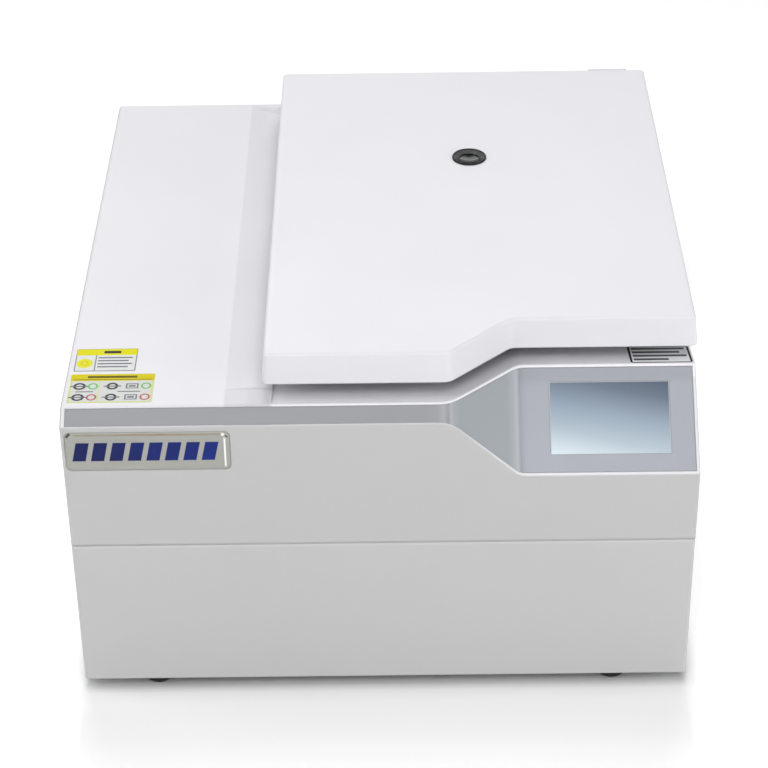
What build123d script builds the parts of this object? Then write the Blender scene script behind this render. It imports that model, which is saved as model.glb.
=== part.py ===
from build123d import *

import os
from math import atan2, cos, hypot, pi, radians, sin

# Refrigerated benchtop centrifuge for microplates.
# +X is the operator's right, +Y points to the rear, +Z is up, millimetres.
# The origin is on the bench, under the centre of the machine and its hinge.

# ---------------------------------------------------------------- driving sizes
# Housing
WIDTH = 560.0
DEPTH = 600.0
DECK_Z = 307.0             # flat top of the shell
SEAM_Z = 168.0             # line between the cabinet and the upper shell
SEAM_GAP = 1.6
TONGUE = 12.0              # depth of the tongue that locates the shell
TONGUE_RISE = 4.0          # of the tongue's root above the seam
FLANGE_LIP = 5.0           # inward flange of the cabinet, under the tongue
SHEET = 2.0                # sheet metal of cabinet, pan and rear panel
WALL = 3.0                 # moulded wall of the upper shell
CORNER = 3.5               # outer corner radius of the housing
RIGHT_ROUND = 1.5          # edge round of the shell's right side
FOOT_HEIGHT = 13.0
FOOT_RADIUS = 14.0
FOOT_TREAD = 2.0           # bevel at the foot's tread
FOOT_WAIST = 9.0           # height where the foot starts to narrow
FOOT_INSET = 68.0          # foot centres from the sides
FOOT_SETBACK = 22.0        # foot centres from the front and the rear
PAN_RIM = 12.0             # upturned edge of the base pan

# Sloped front: a narrow band on the left, a wide operating panel on the right
BAND_DROP = 11.5           # deck to the kink where the slope meets the front
BAND_RUN = 17.0
PANEL_DROP = 68.4
PANEL_RUN = 75.4
STEP_GAP = 28.0            # diagonal facet ends this far left of the screen
STEP_WIDTH = 61.0
SLOPE_ROUND = 2.5
BAND_CREASE = 9.0          # half length of the rounded bend from band to facet
PANEL_CREASE = 5.0         # the same from facet to panel
CREASE_CUTS = 4            # straight cuts that make up each bend

# Bay under the lid
BAY_INSET = 6.3            # sharp left end of the finger scoop, under the lid's side
BAY_DROP = 9.0             # deck to the bay's floor
RAMP_RUN = 43.0
BAY_REAR_LIP = 10.0        # width of the strip of deck behind the bay
DISH_REACH = 35.0          # of the dish beside the lid
DISH_SLOPE = 31.0
DISH_DROP = 4.5
DISH_FRONT = 41.0          # from the front face
DISH_RUNOUT = 12.0

# Inlay film, screen and name plate
INLAY_LEFT = 4.5           # white border at each side of the inlay
INLAY_RIGHT = 3.0
BAND_MARGIN = (1.3, 2.2)   # border below and above the inlay on the band
PANEL_MARGIN = (3.2, 2.7)  # the same on the operating panel
INLAY_RECESS = 1.2
INLAY_THICK = 0.9
SCREEN_INSET = 24.5        # from the right side
SCREEN_WIDTH = 106.5
SCREEN_HEIGHT = 65.8
SCREEN_UP = 19.9           # from the panel's kink, along the slope
SCREEN_LEDGE = 2.0
DISPLAY_THICK = 6.0
DISPLAY_MARGIN = 6.0       # frame of the display module round its picture
BOARD_SPACE = 6.0          # between the display module and its board
BOARD_MARGIN = 12.0
BOARD_THICK = 1.6
CHIP_SIZE = 28.0
CHIP_THICK = 2.6
STANDOFF = 6.0
NAME_PLATE = (144.0, 39.7) # width, height
NAME_PLATE_LEFT = 3.5      # from the left side
NAME_PLATE_DROP = 45.0     # its lower edge below the band's kink
NAME_PLATE_ROUND = 5.0
NAME_PLATE_EDGE = 1.1
NAME_PLATE_THICK = 1.5
NAME_PLATE_PROUD = 0.5

# Lid
LID_LIFT = 13.5            # deck to the underside of the lid
LID_THICK = 28.9
LID_SIDE = 0.8             # right edge from the housing's side
LID_MARGIN_LEFT = 13.0     # lid's edge beyond the chamber collar
LID_MARGIN_RIGHT = 13.2
LID_FRONT_LEFT = 30.4      # setback of the lid's front edge, left of the step
LID_FRONT_RIGHT = 85.0     # the same, right of the step
LID_STEP_LEAD = 1.6        # lid's step starts this far left of the front's step
LID_STEP_WIDTH = 56.0
LID_REAR_SETBACK = 15.4
LID_DRAFT = 5.5            # degrees
LID_CORNER = 6.5
LID_STEP_ROUND = 12.0      # at both ends of the step in its front
LID_EDGE = 2.5
LID_WALL = 3.5
LID_BOSS_RADIUS = 7.0
LID_BOSS_INSET = 30.0
LID_BOSS_REAR = 110.0
LINER_THICK = 2.0
LINER_DISH_RADIUS = 150.0
LID_FRAME_THICK = 3.0

# Lid hinge
HINGE_INSET = 2.0          # axis in front of the rear wall
HINGE_RISE = 18.0          # axis above the deck
HINGE_SPAN = 309.0         # between the two hinges
KNUCKLE_RADIUS = 8.0
KNUCKLE_WIDTH = 26.0
EAR_THICK = 4.0
EAR_NECK = 7.0             # front face of an ear from the axis
PIN_RADIUS = 4.0
PIN_HEAD = 0.9
ARM_THICK = 6.0
ARM_REACH = 55.0
HOOD_WIDTH = 40.0
HOOD_WALL = 1.6
HOOD_ROUND = 4.0
HOOD_RISE = 16.2           # top of the right hood above the axis
HOOD_STEP = 3.4            # the left hood is this much lower
BRACKET_DROP = 41.0        # lower edge of the bracket below the deck
BRACKET_PLATE = 3.0
BOLT_HIGH = 13.0           # bolts below the deck
BOLT_LOW = 31.0
BOLT_HALF_PITCH = 15.0
SCREW_RADIUS = 2.0
SCREW_HEAD = 4.0
SCREW_HEAD_THICK = 2.0
SCREW_HOLE = 2.2

# Sight glass above the rotor
SIGHT_RADIUS = 17.0
SIGHT_LENS_RADIUS = 12.5
SIGHT_PROUD = 1.8
SIGHT_TUBE = 3.0           # bezel's tube is this much smaller than its rim

# Chamber
CHAMBER_REAR = 210.0       # chamber centre from the rear wall
BOWL_RADIUS = 165.0
BOWL_DEPTH = 135.5
BOWL_WALL = 1.5
BOWL_ROUND = 20.0
BOWL_HOLE = 24.0
HOLE_COLLAR = 5.0          # upturned edge of the shaft hole
COLLAR_WIDTH = 10.0
COLLAR_RISE = 16.0         # bay floor to the top of the collar
INSULATION = 13.0
INSULATION_HOLE = 70.0
SEAL_LIP = 1.5
SEAL_FOOT = 2.0
COIL_TURNS = 3
COIL_SIZE = 5.8
COIL_LOW = 10.0            # lowest turn above the bowl's rounded edge
COIL_HIGH = 20.0           # top of the winding below the bay's wall
BUFFER_RADIUS = 9.0
BUFFER_LEFT = 60.0         # buffers from the lid's sides
BUFFER_RIGHT = 50.0
BUFFER_BEHIND = 51.6       # behind the ramp

# Drive
SHAFT_RADIUS = 8.0
STUD_RADIUS = 5.0
SHAFT_SHOULDER = 14.0      # taper starts above the hub's foot
BEARING_RADIUS = 16.0
BEARING_WIDTH = 11.0
MOTOR_RADIUS = 62.0
MOTOR_HEIGHT = 91.0
MOTOR_GAP = 22.0           # motor's top below the bowl's floor
MOTOR_FLANGE = 12.0
MOTOR_FLANGE_THICK = 5.0
MOTOR_WALL = 6.0
MOTOR_PLATE = 200.0
MOTOR_PLATE_THICK = 5.0
MOTOR_PLATE_ROUND = 12.0
MOUNT_RADIUS = 14.0
MOUNT_WAIST = 10.0
MOUNT_EDGE = 6.0
CORE_RADIUS = 30.0
BOOT_WALL = 2.5
BOOT_CUFF = 6.0
BOOT_FOLD = 4.0

# Rotor and plate carriers
TRUNNION_LIFT = 75.0       # trunnion pins above the bowl's floor
TRUNNION_REACH = 75.0
TRUNNION_RADIUS = 5.0
TRUNNION_LENGTH = 4.2
CHEEK_THICK = 7.0
CHEEK_REACH = 88.0
CHEEK_TIP = 12.0
CHEEK_ROUND = 8.0
CHEEK_SLOT = 30.0
CHEEK_SLOT_WIDTH = 13.0
HUB_RADIUS = 22.0
HUB_DROP = 33.0            # hub's foot below the trunnion pins
HUB_RISE = 7.0
BEAM_RAISE = 6.0
BEAM_HOLE = 7.0
NUT_RADIUS = 13.0
NUT_HEIGHT = 14.0
NUT_GRIP = 2.4
NUT_GRIPS = 10
STUD_LENGTH = 10.0
PLATE_LENGTH = 127.8       # standard microplate footprint
PLATE_WIDTH = 85.5
POCKET_CLEARANCE = 0.8     # of the pocket over the plate's length and width
CARRIER_WALL = 3.0
CARRIER_DROP = 45.0        # trunnion down to the pocket floor
CARRIER_FLOOR = 2.5
CARRIER_RIM = 14.0
CARRIER_ROUND = 4.0
CARRIER_GAP = 1.7          # between a carrier and the cheek beside it
EAR_HEAD = 11.0
EAR_FOOT = 34.0
EAR_SLOT = 26.0
EAR_SLOT_WIDTH = 10.0
FLOOR_SLOT_PITCH = 32.0
FLOOR_SLOT_LENGTH = 52.0
FLOOR_SLOT_WIDTH = 18.0
FLOOR_SLOT_ROUND = 6.0
FINGER_NOTCH = 40.0

# Lid lock
LATCH_AHEAD = 42.5         # hooks in front of the chamber collar
HOOK_OFFSET = 78.0         # each side of the chamber centre
HOOK_THICK = 5.0
HOOK_WIDTH = 16.0
HOOK_REACH = 26.0          # hooks below the bay's floor
HOOK_FOOT = 6.0
HOOK_FOOT_HALF = 12.0
HOOK_FOOT_THICK = 3.0
LATCH_TRAVEL = 10.0
BAR_DROP = 16.0            # bar's underside below the bay's floor
BAR_HEIGHT = 8.0
BAR_LEFT = 35.0            # bar's ends from the hooks
BAR_RIGHT = 24.0
BAR_NEAR = 14.7            # bar's faces from the hooks' plane
BAR_FAR = 6.5
HOOK_SLOT_LEFT = 24.0      # slots in the bay's floor, from the hook's centre
HOOK_SLOT_RIGHT = 14.0
HOOK_SLOT_NEAR = 10.0
HOOK_SLOT_FAR = 8.0
CHANNEL_LEFT = 45.0
CHANNEL_RIGHT = 40.0
CHANNEL_NEAR = 17.0
CHANNEL_FAR = 14.0
CHANNEL_SHEET = 2.0
CHANNEL_GAP = 6.0          # open strip of the shelf in front of the hooks' plane
PLUNGER_LENGTH = 30.0
PLUNGER_RADIUS = 2.5
PLUNGER_NEAR = 10.6        # plunger's axis from the hooks' plane
ACTUATOR_LENGTH = 44.0
ACTUATOR_NEAR = 14.0
ACTUATOR_FAR = 16.0
ACTUATOR_DROP = 12.0
ACTUATOR_MOTOR = 11.0
ACTUATOR_MOTOR_DROP = 22.0

# Refrigeration unit in the left wing
UNIT_INSET = 93.0          # middle of the unit from the left side
COMPRESSOR_AHEAD = 163.0   # compressor in front of the chamber centre
COMPRESSOR_RADIUS = 62.0
COMPRESSOR_HEIGHT = 130.0
COMPRESSOR_DOME = 30.0
COMPRESSOR_LIP = 3.0
COMPRESSOR_LIFT = 12.0     # height of the rubber mounts
COMPRESSOR_SPREAD = 8.0    # foot plate beyond the can
COMPRESSOR_MOUNT = 8.0
FOOT_PLATE = 3.0           # plate that the compressor stands on
CONDENSER_WIDTH = 160.0
CONDENSER_HEIGHT = 160.0
CONDENSER_THICK = 32.0
CONDENSER_REAR = 12.0      # from the rear wall
CONDENSER_FOOT = 10.0      # closed strip below the fins
FIN_COUNT = 15
FIN_THICK = 1.2
CONDENSER_TUBE = 8.0
CONDENSER_SHEET = 2.0
FAN_RADIUS = 66.0
FAN_DEPTH = 16.0
FAN_BLADES = 5
FAN_HUB = 18.0
FAN_SET_IN = 4.0           # fan reaches this far into the shroud
FAN_MOTOR_RADIUS = 20.0
FAN_MOTOR_LENGTH = 34.0
FAN_SHAFT = 3.0
FAN_SHAFT_LENGTH = 12.0
SHROUD_THICK = 6.0
SHROUD_ARM = 6.0
SHROUD_ARM_THICK = 4.0
SHROUD_ARM_GAP = 8.0       # arms in front of the fan
THROAT_GAP = 3.0
PIPE_RADIUS = 4.0
DRIER_RADIUS = 12.0
DRIER_LENGTH = 78.0
DRIER_LIFT = 51.0          # drier above the pan
DRIER_CONE = 8.0
DRIER_BEARING = 52.0       # degrees behind the chamber's left
SUCTION_BEARING = 20.0     # degrees in front of the chamber's left
SUCTION_CLEAR = 20.0       # straight run at each side of the suction line's jog
PIPE_BEND = 8.0
HOT_BEND = 12.0
HOT_RISE = 22.0
LIQUID_DROP = 18.0

# Mains inlet, switch and air slots on the rear
MAINS_INSET = 65.0         # inlet and switch from the right side
INLET_LIFT = 47.0          # above the pan
SWITCH_RISE = 42.0         # switch above the inlet
MAINS_WIDTH = 36.0
MAINS_HEIGHT = 27.0
MAINS_FLANGE = 3.0
MAINS_BODY_WIDTH = 27.4
MAINS_BODY_HEIGHT = 20.4
INLET_DEPTH = 24.0
SOCKET_WIDTH = 24.0
SOCKET_HEIGHT = 16.0
SOCKET_DEPTH = 16.0
PIN_WIDTH = 2.0
PIN_HEIGHT = 4.0
PIN_LENGTH = 14.0
SWITCH_DEPTH = 18.0
SWITCH_ROOM = 14.0
SWITCH_ROOM_WIDTH = 22.6
ROCKER_WIDTH = 22.0
ROCKER_HALF = 5.9
ROCKER_PIVOT = 4.0         # pivot in front of the housing's flange
ROCKER_PIN = 1.5
WINDOW_MARGIN_X = 30.0     # rear opening of the cabinet, from its sides
WINDOW_BOTTOM = 24.0
WINDOW_DROP = 34.0         # top of the rear opening below the seam
PANEL_OVERLAP = 14.0       # rear panel beyond the opening
REAR_SCREW_X = 60.0
REAR_SCREW_EDGE = 7.0
SLOT_PITCH = 10.0
SLOT_HEIGHT = 4.0
LOUVRES = 9
LOUVRE_LIFT = 30.0
LOUVRE_REAR = 80.0
LOUVRE_LENGTH = 110.0
VENTS = 8
VENT_OFFSET = 68.5         # first upright vent left of the chamber centre
VENT_LIFT = 35.0
VENT_HEIGHT = 55.0

# Motor drive on the pan
DRIVE_INSET = 30.0         # from the right side
DRIVE_SETBACK = 30.0       # from the front
DRIVE_LENGTH = 130.0
DRIVE_WIDTH = 100.0
DRIVE_LIFT = 10.0
DRIVE_EDGE = 8.0
CAPACITORS = 3
CAPACITOR_RADIUS = 11.0
CAPACITOR_HEIGHT = 36.4
CAPACITOR_PITCH = 28.0
SINK_MARGIN = 12.0
SINK_LENGTH = 68.0
SINK_BASE = 5.0
SINK_HEIGHT = 30.0
SINK_FINS = 7
SINK_FIN_THICK = 2.4

# Clearances
FIT = 0.3                  # between pieces that seat beside each other
RUNNING = 0.05             # radial, shafts and pins in their bores

# ---------------------------------------------------------------- derived places
HINGE_REACH = KNUCKLE_RADIUS - HINGE_INSET
FRONT_Y = -(DEPTH + HINGE_REACH) / 2
REAR_Y = FRONT_Y + DEPTH
LEFT_X = -WIDTH / 2
RIGHT_X = WIDTH / 2
PAN_Z = FOOT_HEIGHT + SHEET
BAND_KINK_Z = DECK_Z - BAND_DROP
PANEL_KINK_Z = DECK_Z - PANEL_DROP
BAY_FLOOR_Z = DECK_Z - BAY_DROP
NAME_PLATE_Z = BAND_KINK_Z - NAME_PLATE_DROP
SCREEN_LEFT = RIGHT_X - SCREEN_INSET - SCREEN_WIDTH
STEP_RIGHT = SCREEN_LEFT - STEP_GAP
STEP_LEFT = STEP_RIGHT - STEP_WIDTH

COLLAR_Z = BAY_FLOOR_Z + COLLAR_RISE
COLLAR_INNER = BOWL_RADIUS + BOWL_WALL + 1.0
COLLAR_OUTER = COLLAR_INNER + COLLAR_WIDTH
BOWL_RIM_Z = COLLAR_Z + BOWL_WALL
BOWL_FLOOR_Z = BOWL_RIM_Z - BOWL_DEPTH
INSULATION_INNER = BOWL_RADIUS + BOWL_WALL + COIL_SIZE + 2 * FIT
INSULATION_OUTER = INSULATION_INNER + INSULATION

LID_RIGHT = RIGHT_X - LID_SIDE
CHAMBER_X = LID_RIGHT - LID_MARGIN_RIGHT - COLLAR_OUTER
CHAMBER_Y = REAR_Y - CHAMBER_REAR
LID_LEFT = CHAMBER_X - COLLAR_OUTER - LID_MARGIN_LEFT
LID_STEP_LEFT = STEP_LEFT - LID_STEP_LEAD
LID_STEP_RIGHT = LID_STEP_LEFT + LID_STEP_WIDTH
BAY_LEFT = LID_LEFT + BAY_INSET
DISH_LEFT = LID_LEFT - DISH_REACH
DISH_FLAT = DISH_LEFT + DISH_SLOPE
LID_BOTTOM_Z = DECK_Z + LID_LIFT
LID_TOP_Z = LID_BOTTOM_Z + LID_THICK
LINER_Z = LID_BOTTOM_Z + 0.1
FRAME_Z = LINER_Z + LINER_THICK
ARM_Z = FRAME_Z + LID_FRAME_THICK
SEAL_TOP_Z = LINER_Z - FIT
BUFFER_Y = FRONT_Y + PANEL_RUN + RAMP_RUN + BUFFER_BEHIND

HINGE_Y = REAR_Y - HINGE_INSET
HINGE_Z = DECK_Z + HINGE_RISE
HINGE_CENTRES = (CHAMBER_X - HINGE_SPAN / 2, CHAMBER_X + HINGE_SPAN / 2)

MOTOR_TOP_Z = BOWL_FLOOR_Z - MOTOR_GAP
MOTOR_BOTTOM_Z = MOTOR_TOP_Z - MOTOR_HEIGHT
TRUNNION_Z = BOWL_FLOOR_Z + TRUNNION_LIFT
HUB_BOTTOM_Z = TRUNNION_Z - HUB_DROP
HUB_TOP_Z = TRUNNION_Z + HUB_RISE
POCKET_LENGTH = PLATE_LENGTH + POCKET_CLEARANCE
POCKET_WIDTH = PLATE_WIDTH + POCKET_CLEARANCE
CARRIER_END = POCKET_LENGTH / 2 + CARRIER_WALL
CHEEK_INNER = CARRIER_END + CARRIER_GAP

LATCH_Y = CHAMBER_Y - COLLAR_OUTER - LATCH_AHEAD
HOOK_CENTRES = (CHAMBER_X - HOOK_OFFSET, CHAMBER_X + HOOK_OFFSET)
HOOK_BOTTOM_Z = BAY_FLOOR_Z - HOOK_REACH
BAR_Z = BAY_FLOOR_Z - BAR_DROP
PLUNGER_Y = LATCH_Y - PLUNGER_NEAR

UNIT_X = LEFT_X + UNIT_INSET
COMPRESSOR_Y = CHAMBER_Y - COMPRESSOR_AHEAD
FAN_Z = PAN_Z + CONDENSER_FOOT + CONDENSER_HEIGHT / 2
CONDENSER_Y = REAR_Y - CONDENSER_REAR - CONDENSER_THICK
SHROUD_Y = CONDENSER_Y - SHROUD_THICK
FAN_Y = SHROUD_Y - FAN_DEPTH + FAN_SET_IN
DRIER_Z = PAN_Z + DRIER_LIFT
LINE_RADIUS = INSULATION_INNER + PIPE_RADIUS

INLET_X = RIGHT_X - MAINS_INSET
INLET_Z = PAN_Z + INLET_LIFT
SWITCH_Z = INLET_Z + SWITCH_RISE
WINDOW_TOP = SEAM_Z - WINDOW_DROP


# ---------------------------------------------------------------- small helpers
def block(x0, x1, y0, y1, z0, z1):
    centre = Pos((x0 + x1) / 2, (y0 + y1) / 2, (z0 + z1) / 2)
    return centre * Box(x1 - x0, y1 - y0, z1 - z0)


def post(x, y, z0, z1, radius):
    return Pos(x, y, (z0 + z1) / 2) * Cylinder(radius, z1 - z0)


def rod_x(y, z, x0, x1, radius):
    return Pos((x0 + x1) / 2, y, z) * Rot(0, 90, 0) * Cylinder(radius, x1 - x0)


def rod_y(x, z, y0, y1, radius):
    return Pos(x, (y0 + y1) / 2, z) * Rot(90, 0, 0) * Cylinder(radius, y1 - y0)


def turned(profile, x=0.0, y=0.0):
    """Solid of revolution about a vertical axis from (radius, height) points."""
    outline = Polyline(*[(r, 0, z) for r, z in profile], close=True)
    return Pos(x, y, 0) * revolve(make_face(outline), Axis.Z)


def ring(x, y, z0, z1, outer, inner):
    return turned([(inner, z0), (outer, z0), (outer, z1), (inner, z1)], x, y)


def together(pieces):
    """Several pieces as one part; pieces that are apart stay apart."""
    whole = Part()
    for piece in pieces:
        whole += piece
    return whole


def rounded_plan(x0, x1, y0, y1, radius, z):
    centre = Pos((x0 + x1) / 2, (y0 + y1) / 2, z)
    return centre * RectangleRounded(x1 - x0, y1 - y0, radius)


def rounded_block(x0, x1, y0, y1, z0, z1, radius):
    return extrude(rounded_plan(x0, x1, y0, y1, radius, z0), z1 - z0)


# ---------------------------------------------------------------- sloped front
class Slope:
    """A straight slope from the front wall, at its kink, up to the deck ridge."""

    def __init__(self, kink_z, run, margin):
        rise = DECK_Z - kink_z
        self.margin = margin
        self.kink_z = kink_z
        self.run = run
        self.length = hypot(run, rise)
        self.cos = run / self.length
        self.sin = rise / self.length

    def point(self, along, depth=0.0):
        """(y, z) at a distance along the slope and a depth below its surface."""
        y = FRONT_Y + along * self.cos + depth * self.sin
        z = self.kink_z + along * self.sin - depth * self.cos
        return (y, z)

    def inner_kink_z(self, inset):
        return self.kink_z + inset * self.sin / self.cos - inset / self.cos

    def inner_y(self, z, inset):
        """Where the slope's inner face, one wall inside, reaches a height."""
        return FRONT_Y + (z - self.kink_z + inset / self.cos) * self.cos / self.sin


def slope_between(share):
    """The slope part of the way from the band's to the panel's."""
    def part_way(band, panel):
        return band + (panel - band) * share
    margin = tuple(part_way(*pair) for pair in zip(BAND_MARGIN, PANEL_MARGIN))
    return Slope(part_way(BAND_KINK_Z, PANEL_KINK_Z), part_way(BAND_RUN, PANEL_RUN), margin)


BAND = slope_between(0)
PANEL = slope_between(1)


def facet_stations():
    """(x, slope) across the facet, with a parabolic bend at each end of it."""
    stations = []
    for i in range(CREASE_CUTS + 1):
        reach = BAND_CREASE * 2 * i / CREASE_CUTS
        stations.append((STEP_LEFT - BAND_CREASE + reach,
                         reach ** 2 / (4 * BAND_CREASE * STEP_WIDTH)))
    for i in range(CREASE_CUTS + 1):
        reach = PANEL_CREASE * 2 * (1 - i / CREASE_CUTS)
        stations.append((STEP_RIGHT + PANEL_CREASE - reach,
                         1 - reach ** 2 / (4 * PANEL_CREASE * STEP_WIDTH)))
    return [(x, slope_between(share)) for x, share in stations]


def station(x, outline, rounds=()):
    """Face across the housing at x; rounds lists (corner number, radius)."""
    face = make_face(Polyline(*[(x, y, z) for y, z in outline], close=True))
    for corner, radius in rounds:
        y, z = outline[corner]
        vertex = face.vertices().sort_by_distance((x, y, z))[0]
        face = fillet(vertex, radius)
    return face


def stepped(outline_of, x0, x1, rounds=()):
    """Body that keeps the band's outline, twists to the panel's and keeps that."""
    places = facet_stations()
    faces = [station(x, outline_of(slope), rounds) for x, slope in places]
    body = extrude(station(x0, outline_of(BAND), rounds), places[0][0] - x0, dir=(1, 0, 0))
    body += loft(faces, ruled=True)
    body += extrude(faces[-1], x1 - places[-1][0], dir=(1, 0, 0))
    return body


def wing_outline(slope):
    seam = SEAM_Z + SEAM_GAP / 2
    return [(FRONT_Y, seam), (FRONT_Y, slope.kink_z), slope.point(slope.length),
            (REAR_Y, DECK_Z), (REAR_Y, seam)]


def bay_outline(slope):
    seam = SEAM_Z + SEAM_GAP / 2
    ridge_y = FRONT_Y + slope.run
    lip_y = REAR_Y - BAY_REAR_LIP
    return [(FRONT_Y, seam), (FRONT_Y, slope.kink_z), (ridge_y, DECK_Z),
            (ridge_y + RAMP_RUN, BAY_FLOOR_Z), (lip_y, BAY_FLOOR_Z), (lip_y, DECK_Z),
            (REAR_Y, DECK_Z), (REAR_Y, seam)]


def cavity_outline(slope, roof_z):
    bottom = SEAM_Z - TONGUE - 1
    return [(FRONT_Y + WALL, bottom), (FRONT_Y + WALL, slope.inner_kink_z(WALL)),
            (slope.inner_y(roof_z, WALL), roof_z), (REAR_Y - WALL, roof_z),
            (REAR_Y - WALL, bottom)]


def slab_outline(slope, margin, top_depth, bottom_depth):
    """Thin layer that lies on or in a slope between its two margins."""
    low, high = margin
    return [slope.point(low, top_depth), slope.point(slope.length - high, top_depth),
            slope.point(slope.length - high, bottom_depth),
            slope.point(low, bottom_depth)]


def inlay_slab(gap, top_depth, bottom_depth):
    def outline_of(slope):
        margin = (slope.margin[0] + gap, slope.margin[1] + gap)
        return slab_outline(slope, margin, top_depth, bottom_depth)
    return stepped(outline_of, LEFT_X + INLAY_LEFT + gap, RIGHT_X - INLAY_RIGHT - gap)


def panel_block(x0, x1, along0, along1, top_depth, bottom_depth):
    """Rectangular block whose faces are square to the operating panel."""
    outline = [PANEL.point(along0, top_depth), PANEL.point(along1, top_depth),
               PANEL.point(along1, bottom_depth), PANEL.point(along0, bottom_depth)]
    return extrude(station(x0, outline), x1 - x0, dir=(1, 0, 0))


def screen_block(inset, top_depth, bottom_depth):
    return panel_block(SCREEN_LEFT + inset, SCREEN_LEFT + SCREEN_WIDTH - inset,
                       SCREEN_UP + inset, SCREEN_UP + SCREEN_HEIGHT - inset,
                       top_depth, bottom_depth)


# ---------------------------------------------------------------- cabinet
def base_pan():
    inset = SHEET + FIT
    rim = PAN_RIM
    x1 = RIGHT_X - inset
    y0 = FRONT_Y + inset
    y1 = REAR_Y - inset
    radius = CORNER - SHEET
    pan = rounded_block(-x1, x1, y0, y1, FOOT_HEIGHT, FOOT_HEIGHT + rim, radius)
    hollow = block(-x1 + SHEET, x1 - SHEET, y0 + SHEET, y1 - SHEET, PAN_Z, PAN_Z + rim)
    return pan - hollow


def lower_cabinet():
    """Folded wrap with an inner flange for the shell, louvres and rear window."""
    top = SEAM_Z - SEAM_GAP / 2
    outer = rounded_block(LEFT_X, RIGHT_X, FRONT_Y, REAR_Y, FOOT_HEIGHT, top, CORNER)
    hollow = rounded_block(LEFT_X + SHEET, RIGHT_X - SHEET, FRONT_Y + SHEET,
                           REAR_Y - SHEET, FOOT_HEIGHT - 1, top + 1, CORNER - SHEET)
    flange_z = SEAM_Z - TONGUE
    flange = rounded_block(LEFT_X + 1, RIGHT_X - 1, FRONT_Y + 1, REAR_Y - 1,
                           flange_z - SHEET, flange_z, CORNER - 1)
    lip = FLANGE_LIP
    flange -= block(LEFT_X + lip, RIGHT_X - lip, FRONT_Y + lip, REAR_Y - lip,
                    flange_z - SHEET - 1, flange_z + 1)
    cabinet = outer - hollow + flange
    window = block(LEFT_X + WINDOW_MARGIN_X, RIGHT_X - WINDOW_MARGIN_X,
                   REAR_Y - SHEET - 1, REAR_Y + 1,
                   FOOT_HEIGHT + WINDOW_BOTTOM, WINDOW_TOP)
    cabinet -= window
    louvre_end = REAR_Y - LOUVRE_REAR
    for i in range(LOUVRES):
        z = PAN_Z + LOUVRE_LIFT + i * SLOT_PITCH
        cabinet -= block(LEFT_X - 1, LEFT_X + SHEET + 1, louvre_end - LOUVRE_LENGTH,
                         louvre_end, z, z + SLOT_HEIGHT)
    for x, z in rear_screw_places():
        cabinet -= rod_y(x, z, REAR_Y - SHEET - 1, REAR_Y + 1, SCREW_HOLE)
    return cabinet


def rear_screw_places():
    edge = WINDOW_MARGIN_X - REAR_SCREW_EDGE
    low = FOOT_HEIGHT + WINDOW_BOTTOM - REAR_SCREW_EDGE
    places = []
    for x in (LEFT_X + edge, -REAR_SCREW_X, REAR_SCREW_X, RIGHT_X - edge):
        for z in (low, WINDOW_TOP + REAR_SCREW_EDGE):
            places.append((x, z))
    return places


def rear_panel():
    """Inner rear panel with the fan grille, air slots and mains cut-outs."""
    y1 = REAR_Y - SHEET
    y0 = y1 - SHEET
    margin = WINDOW_MARGIN_X - PANEL_OVERLAP
    panel = block(LEFT_X + margin, RIGHT_X - margin, y0, y1,
                  FOOT_HEIGHT + PAN_RIM + FIT, SEAM_Z - TONGUE - SHEET - FIT)
    half = CONDENSER_WIDTH / 2 - CONDENSER_REAR
    rib = SLOT_HEIGHT
    low = FOOT_HEIGHT + WINDOW_BOTTOM + SLOT_HEIGHT
    slot_count = int((WINDOW_TOP - low) // SLOT_PITCH)
    for i in range(slot_count):
        z = low + i * SLOT_PITCH
        panel -= block(UNIT_X - half, UNIT_X - rib, y0 - 1, y1 + 1, z, z + SLOT_HEIGHT)
        panel -= block(UNIT_X + rib, UNIT_X + half, y0 - 1, y1 + 1, z, z + SLOT_HEIGHT)
    for i in range(VENTS):
        x = CHAMBER_X - VENT_OFFSET + i * SLOT_PITCH
        z = PAN_Z + VENT_LIFT
        panel -= block(x, x + SLOT_HEIGHT, y0 - 1, y1 + 1, z, z + VENT_HEIGHT)
    for z in (INLET_Z, SWITCH_Z):
        panel -= mains_block(MAINS_BODY_WIDTH + 2 * FIT, MAINS_BODY_HEIGHT + 2 * FIT,
                             y0 - 1, y1 + 1, z)
    for x, z in rear_screw_places():
        panel -= rod_y(x, z, y0 - 1, y1 + 1, SCREW_HOLE)
    return panel


def screw_y(x, z, face_y, length):
    """Pan-head screw that enters towards the front, its head on a rear face."""
    shank = rod_y(x, z, face_y - length, face_y, SCREW_RADIUS)
    head = rod_y(x, z, face_y, face_y + SCREW_HEAD_THICK, SCREW_HEAD)
    return shank + head


def rear_panel_screws():
    return together(screw_y(x, z, REAR_Y, 2 * SHEET + 2) for x, z in rear_screw_places())


def rubber_feet():
    feet = []
    for x in (LEFT_X + FOOT_INSET, RIGHT_X - FOOT_INSET):
        for y in (FRONT_Y + FOOT_SETBACK, REAR_Y - FOOT_SETBACK):
            profile = [(0, 0), (FOOT_RADIUS - FOOT_TREAD, 0), (FOOT_RADIUS, FOOT_TREAD),
                       (FOOT_RADIUS, FOOT_WAIST), (FOOT_RADIUS - FOOT_TREAD, FOOT_HEIGHT),
                       (0, FOOT_HEIGHT)]
            feet.append(turned(profile, x, y))
    return together(feet)


# ---------------------------------------------------------------- upper shell
def hinge_bolts(centre):
    """Bolt places of the hinge whose middle is at x = centre."""
    return [(centre + side * BOLT_HALF_PITCH, DECK_Z - drop)
            for side in (-1, 1) for drop in (BOLT_LOW, BOLT_HIGH)]


def hinge_bolt_places():
    return [place for centre in HINGE_CENTRES for place in hinge_bolts(centre)]


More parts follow.
